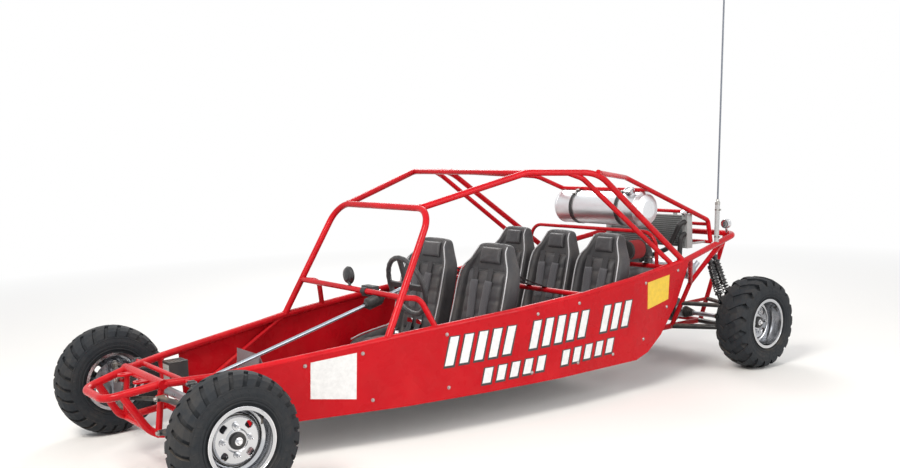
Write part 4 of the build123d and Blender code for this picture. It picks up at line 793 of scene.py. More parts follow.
def wheel_trim(centre, out, half, face, nose):
    """Hub cap, a black ring at the disc's edge as painted shade of the gap there, and valve, then nuts
    and lip of the rim, as two shapes.
    """
    dark, bright = Shape(), Shape()
    gap = 1000 * (face - nose)
    dark.lathe(centre, out, 40, gap + 13, 36.8, gap + 14, 40, -6, 39.6, 2, 37.2, 4.5, 33, 4.5, 17,
               2.5, 15, 2.5, 0, start=nose)
    # Black ring where the disc meets the barrel: painted shade of the gap between them
    dark.lathe(centre, out, 72, 3, 112.2, 6.2, 113.2, 6.2, 117.2, 1, 119, start=face)
    for radius in (0.0255, 0.0310):
        dark.lathe(centre, out, 40, 4, -1.2, 5.6, 0, 4, 1.2, start=nose, radius=radius)
    bright.bolt(centre + out * (nose + 0.0025), out, 0.027)
    for stud in circle(centre + out * (face + 0.031), UP, BACK, STUD_RADIUS, 4):
        bright.lathe(stud, out, 12, 0, 0, 0, 4.5, 7.5, 4.2, 9, 3, 9, 0)
    bright.lathe(centre, out, 96, -7, 165.5, -3, 167.2, 0.5, 165.8, 1, 163, -1, 160.8, -6, 160,
                 start=half)
    aim = Vector((0, sin(VALVE_TURN), cos(VALVE_TURN)))
    foot = centre + out * (half - 0.030) + aim * 0.146
    dark.lathe(foot, out * 0.8 - aim * 0.6, 14,
               -4, 0, -4, 7.5, 6, 6, 24, 4, 36, 4, 36, 4.8, 46, 4.8, 47, 0)
    return dark, bright


def wheels():
    """Tyre walls and wheel trim of the four wheels."""
    for axle, (station, half, rim_half, face, nose) in AXLES.items():
        for side, word in SIDES:
            centre = spot(station, TRACK / 2, AXLE_HEIGHT, side)
            out = ACROSS * side
            name = body = f"{axle}_wheel_{word}"
            tyre_marks(centre, out, half).piece(f"{name}_wall", "tyre_rubber", body=body)
            dark, bright = wheel_trim(centre, out, rim_half, face, nose)
            dark.piece(f"{name}_cap", "box_black", body=body)
            bright.piece(f"{name}_bright", "wheel_chrome", "chrome", body=body)


# Side panels

PANEL_BOLTS = [
    (0.300, 0.470), (0.562, 0.496), (0.864, 0.524), (1.350, 0.565), (1.950, 0.606), (2.265, 0.631),
    (2.852, 0.682), (3.200, 0.722), (0.300, 0.262), (0.915, 0.267), (1.352, 0.271), (1.900, 0.272),
    (2.250, 0.275), (2.548, 0.279), (2.830, 0.330), (3.080, 0.500),
]

# Rows of plain bars: first and last station, low and high edge at each end
BAR_ROWS = [
    (1.330, 2.780, (0.392, 0.548), (0.446, 0.600)),
    (1.560, 2.600, (0.262, 0.345), (0.300, 0.385)),
]
BAR_PITCH = 0.092
BAR_WIDTH = 0.052
BAR_SLANT = 0.042 / 0.155
BAR_GROUP = 6
BAR_RIM = 0.009
RIM_DROP = 0.004
FILM = 0.0007

# Corners of the blank patches: station, height
WHITE_PATCH = [(0.590, 0.318), (0.828, 0.284), (0.832, 0.532), (0.590, 0.510)]
YELLOW_PATCH = [(2.872, 0.512), (3.095, 0.548), (3.105, 0.706), (2.872, 0.682)]


class Panel:
    """Outer face of a side panel, found by rays, that pieces lie on."""

    def __init__(self, side, word):
        data = nodes[f"side_panel_{word}"].data
        points = [vertex.co.copy() for vertex in data.vertices]
        faces = [list(face.vertices) for face in data.polygons]
        self.tree = BVHTree.FromPolygons(points, faces)
        self.side = side

    def hit(self, station, height):
        """Point of the face at a station and a height, and the normal there."""
        ahead = ACROSS * -self.side
        point, normal, _, _ = self.tree.ray_cast(spot(station, 1.2, height, self.side), ahead)
        return point, -normal if normal.dot(ahead) > 0 else normal

    def film(self, shape, corners, lift=FILM, steps=(6, 6)):
        """Thin film between four corners, given as stations and heights."""
        a, b, c, d = [Vector(corner) for corner in corners]
        rows = []
        for i in range(steps[0] + 1):
            line, under = [], []
            for j in range(steps[1] + 1):
                u = j / steps[1]
                flat = a.lerp(b, u).lerp(d.lerp(c, u), i / steps[0])
                point, normal = self.hit(flat.x, flat.y)
                line.append(point + normal * lift)
                under.append(point - normal * 0.0002)
            rows.append(line + under[::-1])
        shape.grid(rows, wrap=True, caps=True)


def bars_on(panel):
    """Slanted bars with a dark edge, in place of the words on the panel."""
    white, black = Shape(), Shape()
    for first, last, start, end in BAR_ROWS:
        for bar in range(int((last - first) / BAR_PITCH)):
            if bar % BAR_GROUP == BAR_GROUP - 1:
                continue
            station = first + bar * BAR_PITCH
            share = (station - first) / (last - first)
            low, high = [a + (b - a) * share for a, b in zip(start, end)]
            slant = BAR_SLANT * (high - low)
            for shape, grow, drop, lift in ((black, BAR_RIM, RIM_DROP, FILM),
                                            (white, 0.0, 0.0, 2 * FILM)):
                left, right = station - grow, station + BAR_WIDTH + grow
                foot, head = low - grow - drop, high + grow - drop
                corners = [(left, foot), (right, foot), (right + slant, head), (left + slant, head)]
                panel.film(shape, corners, lift, (4, 2))
    return white, black


def panels():
    """Bolts, bars and blank patches of both side panels."""
    for side, word in SIDES:
        panel = Panel(side, word)
        bolts, plate = Shape(), Shape()
        for place_at in PANEL_BOLTS:
            bolts.lathe(*panel.hit(*place_at), 20,
                        0, 0, 0, 10.5, 1.8, 10, 2.2, 7.2, 6, 5.6, 7.2, 3, 7.4, 0)
        bolts.piece(f"panel_bolts_{word}", "bare_steel", "bolt_steel")
        white, black = bars_on(panel)
        panel.film(white, WHITE_PATCH)
        white.piece(f"panel_bars_{word}", "panel_red", "white_film", 20)
        black.piece(f"panel_bar_edges_{word}", "panel_red", "black_film", 20)
        panel.film(plate, YELLOW_PATCH)
        plate.piece(f"panel_plate_{word}", "panel_red", "yellow_film", 20)


# Frame details

BEAD = 0.0030
BEAD_STEP = 0.0032


def weld(shape, at, towards, along, small, big):
    """Bead where a tube of one radius ends on another, along their real meeting line."""
    axis = (towards - at).normalized()
    along = along.normalized()
    across = axis.cross(along).normalized()
    flat_axis = axis - along * axis.dot(along)
    points, radii = [], []
    steps = max(24, int(2 * pi * small / BEAD_STEP))
    for step, side in enumerate(circle(Vector(), across, axis.cross(across), small, steps)):
        flat_side = side - along * side.dot(along)
        a = flat_axis.length_squared
        b = 2 * flat_side.dot(flat_axis)
        c = flat_side.length_squared - big ** 2
        reach = (-b + sqrt(max(b * b - 4 * a * c, 0.0))) / (2 * a)
        points.append(at + side + axis * reach)
        radii.append(BEAD * (1.15 if step % 2 else 0.80))
    shape.tube(points, radii, 6, loop=True)


def frame_joints(side):
    """Joints of the frame on one side: place, a point along the tube, the other tube's run, radii."""
    inward = ACROSS * -side

    def at(station, width, height):
        return spot(station, width, height, side)

    def on(station, small, towards=None, rail=BELT_RAIL, big=BELT):
        """Tube that ends on a rail, from a point or from the middle of the car."""
        point, run = rail_at(rail, station, side)
        return point, point + inward if towards is None else towards, run, small, big

    foot, run = rail_at(BELT_RAIL, 1.010, side)
    top = at(1.384, 0.487, 1.240)
    leg = (top - foot).normalized()
    dash = foot.lerp(top, 0.31165)
    elbow = dash + Vector((0, 0.120, -0.020))
    peak, bend = at(2.027, 0.563, 1.409), at(2.450, 0.720, 1.390)
    corner = peak.lerp(bend, 0.78) - UP * 0.034
    tower = at(3.680, 0.400, 0.560)
    nose = at(-0.100, 0.235, 0.479)
    shoulder = rail_at(BELT_RAIL, 3.100, side)[0].z
    return [
        (foot, top, run, HOOP, BELT), (dash, dash + inward, leg, BRACE, HOOP),
        (dash, elbow, leg, BRACE, HOOP), on(1.301, BRACE, elbow),
        (at(1.384, 0.380, 1.240), peak, ACROSS, TWIN, HOOP),
        on(3.290, HOOP, bend), on(3.170, BRACE, corner),
        (peak - UP * 0.001, peak + inward, bend - peak, BRACE, HOOP),
        on(3.250, LIGHT, None, REAR_STAY, BRACE), on(3.700, LIGHT, None, REAR_STAY, BRACE),
        (bend, at(3.010, 0.425, 1.330), bend - on(3.290, HOOP)[0], BRACE, HOOP),
        on(2.320, BRACE), on(3.100, BRACE),
        (at(3.100, 0.600, shoulder), at(3.100, 0.600, 0.9), ACROSS, LIGHT, BRACE),
        on(3.375, BRACE, tower), on(3.800, BRACE, tower),
        (at(3.660, 0.245, 0.235), tower, BACK, BRACE, HOOP),
        (at(3.990, 0.470, 0.886), at(3.980, 0.245, 0.235), ACROSS, BRACE, BELT),
        (nose, at(0.150, 0.354, 0.494), ACROSS, BELT, CROSS),
        (nose, at(-0.355, 0.150, 0.430), ACROSS, BELT, CROSS),
        on(0.0, LIGHT),
        (at(0.125, 0.3421, 0.4925), at(0.125, 0.2975, 0.229), on(0.125, BRACE)[2], BRACE, BELT),
        (foot, at(0.250, 0.335, 0.229), run, LIGHT, BELT),
        on(3.325, HOOP, at(3.190, 0.662, 0.529)),
    ]


def frame_details():
    """Weld beads where the frame's tubes meet."""
    beads = Shape()
    for side, _ in SIDES:
        for joint in frame_joints(side):
            weld(beads, *joint)
    beads.piece("frame_welds", "frame_paint")


# Suspension

# Coil-overs: place of the upper eye and the lower eye, spring radius, half length of the low eye
SHOCKS = {
    "front": (((0.0, 0.3606, 0.485), (0.0, 0.590, 0.238), 0.032, 0.038),),
    "rear": (((3.813, 0.4687, 0.7001), (3.7532, 0.6051, 0.4386), 0.028, 0.016),
             ((3.874, 0.4598, 0.7283), (3.8092, 0.6415, 0.4309), 0.028, 0.016)),
}
COILS = 10
WIRE = 0.0042
KINGPIN = TRACK / 2 - 0.095

# Boots of the half shafts: ends as widths from the middle, radius at each end
BOOTS = ((0.216, 0.292, 0.040, 0.0165), (0.556, 0.488, 0.0385, 0.0165))
BOOT_FOLDS = 6
BOOT_CLIPS = ((0.218, 0.0405), (0.294, 0.0172), (0.554, 0.0390), (0.486, 0.0172))


def coil_over(spring, body, bright, top, low, radius, reach):
    """Spring, damper body and rod between two eyes."""
    axis = (low - top).normalized()
    length = (low - top).length
    across, over = around(axis)
    start, stop = 0.042, length - 0.060
    line = []
    steps = COILS * 18
    for step in range(steps + 1):
        share = step / steps
        turn = 2 * pi * COILS * share
        squeeze = share + 0.018 * sin(4 * pi * share)
        line.append(top + axis * (start + 0.004 + (stop - start - 0.008) * squeeze)
                    + (across * cos(turn) + over * sin(turn)) * (radius - WIRE))
    spring.tube(line, WIRE, 8)
    wide = radius - 0.001
    body.turned([(0.012, 0.0), (0.012, 0.014), (0.030, 0.016), (0.034, 0.0185), (0.034, wide),
                 (0.041, wide), (0.043, wide - 0.003), (0.043, 0.0195), (0.60 * length, 0.0195),
                 (0.605 * length, 0.017), (0.605 * length, 0.0)], top, axis, 28)
    for ring in range(5):
        body.lathe(top, axis, 28, 0, 19.5, 2, 21.2, 6, 21.2, 8, 19.5, start=0.050 + ring * 0.012)
    body.turned([(stop - 0.002, 0.0), (stop - 0.002, wide - 0.003), (stop, wide), (stop + 0.006, wide),
                 (stop + 0.008, 0.016), (length - 0.022, 0.014), (length - 0.010, 0.010),
                 (length - 0.008, 0.0)], top, axis, 28)
    bright.turned([(0.58 * length, 0.0), (0.58 * length, 0.0075), (stop, 0.0075), (stop, 0.0)],
                  top, axis, 16)
    for eye, half, ring in ((top, 0.016, 0.017), (low, reach, 0.015)):
        body.turned([(-half, 0.0), (-half, ring - 0.001), (0.001 - half, ring), (half - 0.001, ring),
                     (half, ring - 0.001), (half, 0.0)], eye, BACK, 24)
        for way in (BACK, -BACK):
            bright.bolt(eye + way * half, way, 0.020)


def shocks():
    """Coil-overs with open springs."""
    for axle, places in SHOCKS.items():
        for side, word in SIDES:
            spring, body, bright = Shape(), Shape(), Shape()
            for top, low, radius, reach in places:
                coil_over(spring, body, bright, spot(*top, side), spot(*low, side), radius, reach)
            piece = spring.piece(f"{axle}_springs_{word}", "shock_black", smooth=180)
            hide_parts(f"{axle}_shocks")
            body.piece(f"{axle}_dampers_{word}", "shock_black")
            # Rods and eye bolts take a dark look, as painted shade inside the springs
            bright.piece(f"{axle}_shock_rods_{word}", "bare_steel", "rod_painted_shade")


def suspension_details():
    """Pivot bolts of the arms, and boots and clips of the half shafts."""
    for side, word in SIDES:
        bolts, boots, clips = Shape(), Shape(), Shape()
        for station, pivot in ((-0.125, 0.275), (0.125, 0.345)):
            for height in (0.252, 0.420):
                for way in (BACK, -BACK):
                    bolts.bolt(spot(station, pivot, height, side) + way * 0.020, way, 0.021)
        for height, way in ((0.203, -UP), (0.417, UP)):
            bolts.bolt(spot(0.0, KINGPIN, height, side), way, 0.024)
        for station in (3.639, 3.939):
            bolts.bolt(spot(station, 0.255, 0.235, side), -BACK, 0.020)
        bolts.piece(f"arm_bolts_{word}", "bare_steel", "zinc")
        centre, out = spot(WHEELBASE, 0.0, AXLE_HEIGHT), ACROSS * side
        for first, last, wide, narrow in BOOTS:
            profile = [(first, 0.012), (first, wide)]
            for fold in range(BOOT_FOLDS):
                for part, swell in ((0.25, 0.004), (0.75, -0.002)):
                    share = (fold + part) / BOOT_FOLDS
                    radius = wide + (narrow - wide) * share + swell
                    profile.append((first + (last - first) * share, radius))
            lip = last + (last - first) * 0.08
            profile += [(last, narrow + 0.001), (lip, narrow), (lip, 0.0145)]
            boots.turned(profile, centre, out, 36)
        boots.piece(f"shaft_boots_{word}", "hose_black", smooth=60, body=f"rear_wheel_{word}")
        for x, radius in BOOT_CLIPS:
            clips.band(centre, out, 36, x, 0.004, radius - 0.001, radius + 0.0012)
        clips.piece(f"shaft_clips_{word}", "bare_steel", "zinc", body=f"rear_wheel_{word}")


# Controls

COLUMN_LOW = spot(0.150, 0.275, 0.482)
COLUMN_HIGH = spot(1.330, 0.300, 0.800)
SLEEVE_SHARE = (1.108 - 0.150) / 1.180
GRIP_RADIUS = 0.170
GRIP_WAVES = 24
STITCHES = 72
DASH_BAR = spot(1.1266, 0.0, 0.785)
SWITCH_OFFSETS = (-0.034, -0.011, 0.012, 0.035)
BOOT_LEVELS = 9
BOOT_STEPS = 24

# Pedals: middle across the car, width
PEDALS = ((0.232, 0.046), (0.278, 0.034), (0.324, 0.034))
PEDAL_FACE = 0.4345


def steering_wheel():
    """Grip with its stitches, spoke plates and hub of the steering wheel, and the column's sleeve."""
    hub = COLUMN_HIGH
    axis = (hub - COLUMN_LOW).normalized()
    right = (ACROSS - axis * axis.x).normalized()
    down = axis.cross(right)
    grip, stitch, plates, middle_cap, sleeve = Shape(), Shape(), Shape(), Shape(), Shape()
    steps = 120
    radii = [0.0146 + 0.0007 * cos(GRIP_WAVES * turn) for turn in turns(steps)]
    grip.tube(circle(hub, right, down, GRIP_RADIUS, steps), radii, 14, loop=True)
    for turn in turns(STITCHES):
        middle = hub + (right * cos(turn) + down * sin(turn)) * (GRIP_RADIUS - 0.0150)
        reach = (right * -sin(turn) + down * cos(turn)) * 0.0028 + axis * 0.003
        stitch.tube([middle - reach, middle + reach], 0.0007, 5)
    for way in (right, -right, -down):
        cross = axis.cross(way)
        rows = []
        for share in (0.0, 0.25, 0.5, 0.75, 1.0):
            half = 0.019 - 0.006 * share + 0.006 * share ** 4
            middle = hub + way * (0.020 + 0.136 * share)
            rows.append([middle + cross * half * u + axis * 0.0085 * n
                         for u, n in ((-1, -1), (1, -1), (1, 1), (-1, 1))])
        plates.grid(rows, wrap=True, caps=True)
    middle_cap.lathe(hub, axis, 36, 0, 0, 12, 35.5, 14, 36, 18, 34, 22, 27, 26, 24, 28, 15, 28, 0)
    for place_at in circle(hub, right, down, 0.0295, 6):
        middle_cap.lathe(place_at, axis, 12, 16, 0, 16, 4, 21, 4, 22.5, 2.5, 22.5, 0)
    folds = [value for along in range(-40, 40, 10) for value in (along, 34.5, along + 5, 31.5)]
    sleeve.lathe(COLUMN_LOW.lerp(hub, SLEEVE_SHARE), axis, 36, -62, 11.5, -62, 18, -50, 20, -46, 29,
                 *folds, 46, 29, 50, 20, 60, 18, 60, 11.5)
    grip.piece("steering_grip", "seat_black", smooth=180, body="steering_wheel")
    stitch.piece("steering_stitches", "seat_black", "piping_grey", body="steering_wheel")
    plates.piece("steering_spokes", "box_black", bevel=0.002, body="steering_wheel")
    middle_cap.piece("steering_hub", "box_black", body="steering_wheel")
    sleeve.piece("column_sleeve", "hose_black", smooth=50)


def controls():
    """Switch box on the dash bar, knob and boot of the gear lever, and treads of the pedals."""
    panel, switches, knob, treads = Shape(), Shape(), Shape(), Shape()
    box = DASH_BAR + Vector((0.180, 0.036, -0.004))
    panel.block(box, (0.110, 0.052, 0.062), edge=0.005)
    panel.band(DASH_BAR + ACROSS * 0.180, ACROSS, 28, 0.0, 0.022, BRACE + 0.0005, BRACE + 0.004)
    panel.piece("switch_box", "box_black")
    for offset in SWITCH_OFFSETS:
        base = box + Vector((offset, 0.026, 0))
        switches.lathe(base, BACK, 12, 0, 0, 0, 7.5, 2, 7.5, 3, 5.5, 6, 5, 6, 0)
        switches.tube([base, base + Vector((0, 0.018, 0.006))], [0.0022, 0.0032], 8)
    switches.piece("switches", "bare_steel", "chrome")
    knob.lathe(spot(1.430, 0.0, 0.508), UP, 28,
               -3, 0, 0, 12, 4, 16, 18, 22.5, 30, 21.5, 40, 13, 44.5, 0)
    knob.piece("gear_knob", "box_black")
    rows = []
    for level in range(BOOT_LEVELS):
        share = level / (BOOT_LEVELS - 1)
        middle = spot(1.450 - 0.010 * share, 0.0, 0.288 + 0.085 * share)
        swell = 0.004 * (1 if level % 2 else -1)
        half = 0.030 * (1 - share) ** 1.4 + 0.010 + swell * (1 - share)
        ring = []
        for turn in turns(BOOT_STEPS):
            x, y = cos(turn), sin(turn)
            square = (abs(x) ** 4 + abs(y) ** 4) ** -0.25 * (1 - share) + share
            ring.append(middle + Vector((x * half * square * 0.92, y * half * square * 1.25, 0)))
        rows.append(ring)
    boot = Shape().grid(rows, wrap=True, caps=True)
    boot.piece("gear_boot", "seat_black", smooth=180)
    for middle, wide in PEDALS:
        for row in range(5):
            treads.block(spot(PEDAL_FACE, middle, 0.390 + 0.010 * row), (wide - 0.006, 0.003, 0.004),
                         edge=0.001)
    treads.piece("pedal_treads", "hose_black")


def mirror_and_lamp():
    """Glass and rim of the mirror, lens and rim of the tail lamp, clamps and cap of the flag whip."""
    middle = DASH_BAR + Vector((0, 0.004, 0.072))
    rim = Shape().lathe(middle, BACK, 48, 9.5, 44, 12.5, 46.5, 13.5, 50, 10, 52.5, 4, 51.8, 4, 49.5)
    rim.piece("mirror_rim", "mirror_black")
    glass = Shape().lathe(middle, BACK, 48, 9, 0, 11.2, 0, 11.2, 45.5, 9, 46.2)
    glass.piece("mirror_glass", "lamp_chrome", "mirror_glass")
    lamp_at = spot(3.965, 0.492, 0.956)
    profile = [(0.0150, 0.0)]
    for ring in range(5):
        radius = 0.0045 + 0.0055 * ring
        lift = 0.0225 - 0.009 * (radius / 0.030) ** 2
        profile += [(lift, radius - 0.002), (lift + 0.0010, radius), (lift, radius + 0.002)]
    lens = Shape().turned(profile + [(0.0150, 0.0290)], lamp_at, BACK, 40)
    lens.piece("tail_lens", "lamp_chrome", "red_glass")
    rim = Shape().lathe(lamp_at, BACK, 40, 13, 28.5, 19.5, 28.8, 20.5, 31, 18, 33.2, 6, 33, 6, 31)
    for fold in range(3):
        rim.lathe(lamp_at, BACK, 40, 0, 31, 1.5, 32.4, 3, 31, start=-0.012 + fold * 0.007)
    rim.lathe(lamp_at, BACK, 32, -18.2, 0, -20, 12, -18.2, 24)
    rim.piece("lamp_rim", "lamp_chrome", "chrome")
    foot = rail_at(BELT_RAIL, 3.720)[0]
    lean = Vector((0, 0.063, 1)).normalized()
    clamps = Shape()
    for rise in (0.050, 0.235):
        clamps.band(foot, lean, 28, rise, 0.006, 0.0158, 0.0178)
        clamps.block(foot + lean * rise + ACROSS * 0.021, (0.012, 0.014, 0.011))
    clamps.lathe(foot, lean, 28, 270, 7, 270, 17.2, 287, 17.2, 292, 12, 306, 10.5, 308, 5.8)
    clamps.piece("whip_clamps", "bare_steel", "zinc")
    cap = Shape().lathe(foot, lean, 20, 2415, 6, 2418, 7.5, 2433.5, 7.5, 2434.5, 0)
    cap.piece("whip_cap", "box_black")


# Engine and what stands behind it

ENGINE_FRONT = 3.120
ENGINE_BACK = 3.540
PORTS = [ENGINE_FRONT + (cylinder + 0.5) * (ENGINE_BACK - ENGINE_FRONT) / 4 for cylinder in range(4)]
DRIVE_WIDTH = 0.0925

# Pulleys, plenum and filter: place across the car, height, radius
PULLEYS = ((0.0, 0.340, 0.070), (-0.150, 0.430, 0.034), (0.040, 0.600, 0.046))
PLENUM = (0.205, 0.650, 0.042)
FILTER = (0.215, 0.815, 0.062)
PLEAT_STEPS = 144

RADIATOR_AT = 3.700
FIN_ROWS = 15
FIN_FOLDS = 170
FIN_GAP = 0.0018
TANK = spot(3.250, 0.0, 1.1043)
SILENCER = spot(3.935, 0.0, 0.600)
BOX_X = -0.2705


def belt_loop(circles, steps=84):
    """Points of a belt round three pulleys, in the plane across the car."""
    points = sorted({(x + radius * cos(turn), z + radius * sin(turn))
                     for x, z, radius in circles for turn in turns(steps)})
    hull = []
    for one_way in (points, points[::-1]):
        chain = []
        for point in one_way:
            while len(chain) > 1:
                (x0, z0), (x1, z1) = chain[-2:]
                if (x1 - x0) * (point[1] - z0) - (z1 - z0) * (point[0] - x0) > 0:
                    break
                chain.pop()
            chain.append(point)
        hull += chain[:-1]
    return hull


def flanges(shape, out, height, steps, radius, bore, reach):
    """Flanges of the four ports on one side of the engine, each with two bolts."""
    for station in PORTS:
        place_at = spot(station, 0.108 * out.x, height)
        shape.lathe(place_at, out, steps, 0, 0, 0, radius, 7, radius, 7, bore)
        for way in (BACK, -BACK):
            shape.bolt(place_at + out * 0.007 + way * reach, out, 0.009)


def engine_details():
    """Cover, bolts, belt and vents of the engine."""
    cover, bolts, belt, vents = Shape(), Shape(), Shape(), Shape()
    for rib in range(7):
        cover.block(spot(3.345, 0.015 * rib - 0.045, 0.7472), (0.0055, 0.300, 0.0055))
    cover.lathe(spot(3.172, 0.0, 0.744), UP, 10, 0, 0, 0, 25.5, 6, 25.5, 8, 23, 22, 22.5, 25, 19, 25, 0)
    cover.piece("engine_cover_ribs", "engine_cast", "cast_bright", 30)
    for side, _ in SIDES:
        for step in range(5):
            low = ENGINE_FRONT + 0.024 + 0.093 * step
            bolts.bolt(spot(ENGINE_FRONT + 0.030 + 0.090 * step, 0.074, 0.6845, side), UP, 0.012)
            bolts.bolt(spot(low, 0.1082, 0.580, side), ACROSS * side, 0.012)
            bolts.bolt(spot(low, 0.1522, 0.318, side), ACROSS * side, 0.013)
    for x, z, radius in PULLEYS:
        bolts.bolt(spot(3.074, x, z), -BACK, 0.022)
        for place_at in circle(spot(3.078, x, z), ACROSS, UP, radius * 0.52, 4, 0.5):
            bolts.bolt(place_at, -BACK, 0.010)
    bolts.piece("engine_bolts", "bare_steel", "zinc")
    hull = belt_loop([(x, z, radius + 0.0008) for x, z, radius in PULLEYS])
    rows = []
    for before, here, after in zip(hull[-1:] + hull, hull, hull[1:] + hull):
        rise = Vector((after[1] - before[1], 0, before[0] - after[0])).normalized() * 0.0038
        middle = spot(3.086, *here)
        rows.append([middle - BACK * 0.0065, middle - BACK * 0.0060 + rise,
                     middle + BACK * 0.0060 + rise, middle + BACK * 0.0065])
    belt.grid(rows, wrap=True, loop=True)
    belt.piece("engine_belt", "hose_black", smooth=60)
    x, z, _ = PULLEYS[1]
    for station in (3.110, 3.222):
        for way in circle(Vector(), ACROSS, UP, 1.0, 12):
            vents.block(spot(station, x, z) + way * 0.0600, (0.009, 0.014, 0.009),
                        (way, BACK, way.cross(BACK)), 0.001)
    vents.piece("alternator_vents", "box_black")


def intake_details():
    """Pleats and caps of the air filter, and clamps of the intake."""
    pleats, caps, clamps = Shape(), Shape(), Shape()
    x, z, radius = FILTER
    rows = []
    for share in (0.0, 0.04, 0.5, 0.96, 1.0):
        ring = []
        for step, turn in enumerate(turns(PLEAT_STEPS)):
            reach = radius + (0.0030 if step % 2 else 0.0006) * (0 < share < 1)
            ring.append(spot(3.252 + 0.112 * share, x + reach * cos(turn), z + reach * sin(turn)))
        rows.append(ring)
    pleats.grid(rows, wrap=True)
    pleats.piece("filter_pleats", "panel_red", "filter_cloth", 25)
    middle = spot(3.240, x, z)
    caps.lathe(middle, BACK, 48, -1, 0, -2, 20, -1, 56, 3, 65, 13, 65, 14, 62)
    caps.lathe(middle, BACK, 48, 126, 62, 127, 65, 138, 65, 141.5, 60, 142.5, 34)
    caps.piece("filter_caps", "hose_black")
    neck = spot(3.470, x, PLENUM[1])
    for rise in (0.048, 0.100):
        clamps.band(neck, UP, 36, rise, 0.005, 0.0302, 0.0320)
        clamps.block(neck + UP * rise + ACROSS * 0.036, (0.014, 0.012, 0.011))
    x, z, radius = PLENUM
    for station in (3.143, 3.507):
        clamps.lathe(spot(station, x, z), BACK, 40, -3, -1, -2, 3, 2, 3, 3, -1, radius=radius)
    flanges(clamps, ACROSS, 0.610, 28, 28.5, 18.5, 0.0235)
    clamps.piece("intake_clamps", "bare_steel", "zinc")


def radiator_details():
    """Fins with a sheet behind them, both dark as painted shade of the deep core, tubes, crimped edges
    and cap of the radiator.
    """
    fins, tubes, crimp, cap = Shape(), Shape(), Shape(), Shape()
    low, high, half, depth = 0.812, 1.026, 0.340, 0.0170
    pitch = (high - low) / FIN_ROWS
    for row in range(FIN_ROWS):
        bottom = low + row * pitch
        top = bottom + pitch
        for face in (1, -1):
            inner, outer, sheet = [RADIATOR_AT + face * (depth + lift)
                                   for lift in (-0.001, 0.0014, 0.0003)]
            rows = []
            for step in range(FIN_FOLDS + 1):
                x = -half + 2 * half * step / FIN_FOLDS
                z = bottom + FIN_GAP if step % 2 else top - FIN_GAP
                rows.append([spot(inner, x, z), spot(outer, x, z)])
            fins.grid(rows)
            # Flat sheet behind each row of fins, dark as painted shade of the core's depth
            fins.grid([[spot(sheet, x, z) for x in (-half, half)] for z in (bottom, top)])
    for row in range(FIN_ROWS + 1):
        for face in (1, -1):
            tubes.block(spot(RADIATOR_AT + face * (depth + 0.0006), 0.0, low + row * pitch),
                        (2 * half, 0.0026, 0.0030), edge=0.0006)
    fins.piece("radiator_fins", "radiator_metal", "fins_painted_shade", 20)
    tubes.piece("radiator_tubes", "radiator_metal", "fin_metal")
    for side, _ in SIDES:
        crimp.block(spot(RADIATOR_AT, 0.3435, 0.919, side), (0.0070, 0.0570, 0.238), edge=0.001)
        for step in range(15):
            for face in (1, -1):
                crimp.block(spot(RADIATOR_AT + face * 0.0274, 0.3500, 0.812 + 0.0153 * step, side),
                            (0.0090, 0.0026, 0.0075))
    crimp.piece("radiator_crimp", "radiator_metal")
    neck, axis = spot(RADIATOR_AT - 0.008, 0.363, 1.0264), Vector((0, -26, 34)).normalized()
    cap.lathe(neck, axis, 24, 30, 16, 30, 22.5, 36, 23.5, 43, 22.5, 44.5, 12, 44.5, 0)
    cap.block(neck + axis * 0.0405, (0.056, 0.011, 0.0050), (ACROSS, axis.cross(ACROSS), axis), 0.001)
    cap.piece("radiator_cap", "lamp_chrome", "chrome")


def tank_details():
    """Seams, filler cap and bands of the fuel tank."""
    seams, filler, bands = Shape(), Shape(), Shape()
    for side, _ in SIDES:
        seams.lathe(TANK, ACROSS * side, 72, 360, 117.6, 361.2, 119.6, 366, 119.6, 367.2, 117.4)
    seams.tube([TANK + Vector((-0.36 + 0.03 * step, -0.060, -0.1018)) for step in range(25)], 0.0022, 6)
    seams.piece("tank_seams", "tank_metal")
    neck = TANK + Vector((0.300, -0.0472, 0.0944))
    axis = Vector((0, -30, 44)).normalized()
    filler.lathe(neck, axis, 40, 20, 30, 21, 34.5, 29, 34.5, 30, 32, 36, 31.2)
    filler.lathe(neck, axis, 40, 35.5, 30, 36.5, 35, 52, 35, 54.5, 32.5, 55, 29, 53.5, 27, 53.5, 0)
    for edge_at in circle(neck, *around(axis), 0.0350, 20):
        filler.tube([edge_at + axis * 0.0375, edge_at + axis * 0.0515], 0.0017, 6)
    filler.piece("tank_cap", "lamp_chrome")
    turn = radians(118)
    out = Vector((0, cos(turn), sin(turn)))
    run = Vector((0, -sin(turn), cos(turn)))
    for side, _ in SIDES:
        middle = TANK + ACROSS * side * 0.215
        for edge_at in (-0.0155, 0.0155):
            bands.lathe(middle, ACROSS, 72, -1.2, 119.5, 0, 122.2, 1.2, 119.5, start=edge_at)
        for way in (run, -run):
            bands.band(middle + out * 0.1245 + way * 0.022, ACROSS, 12, 0.0, 0.015, 0.0, 0.0062)
        screw = middle + out * 0.1265
        bands.tube([screw - run * 0.036, screw + run * 0.036], 0.0030, 8)
        bands.bolt(screw + run * 0.030, run, 0.011)
    bands.piece("tank_bands", "strap_black", "zinc")


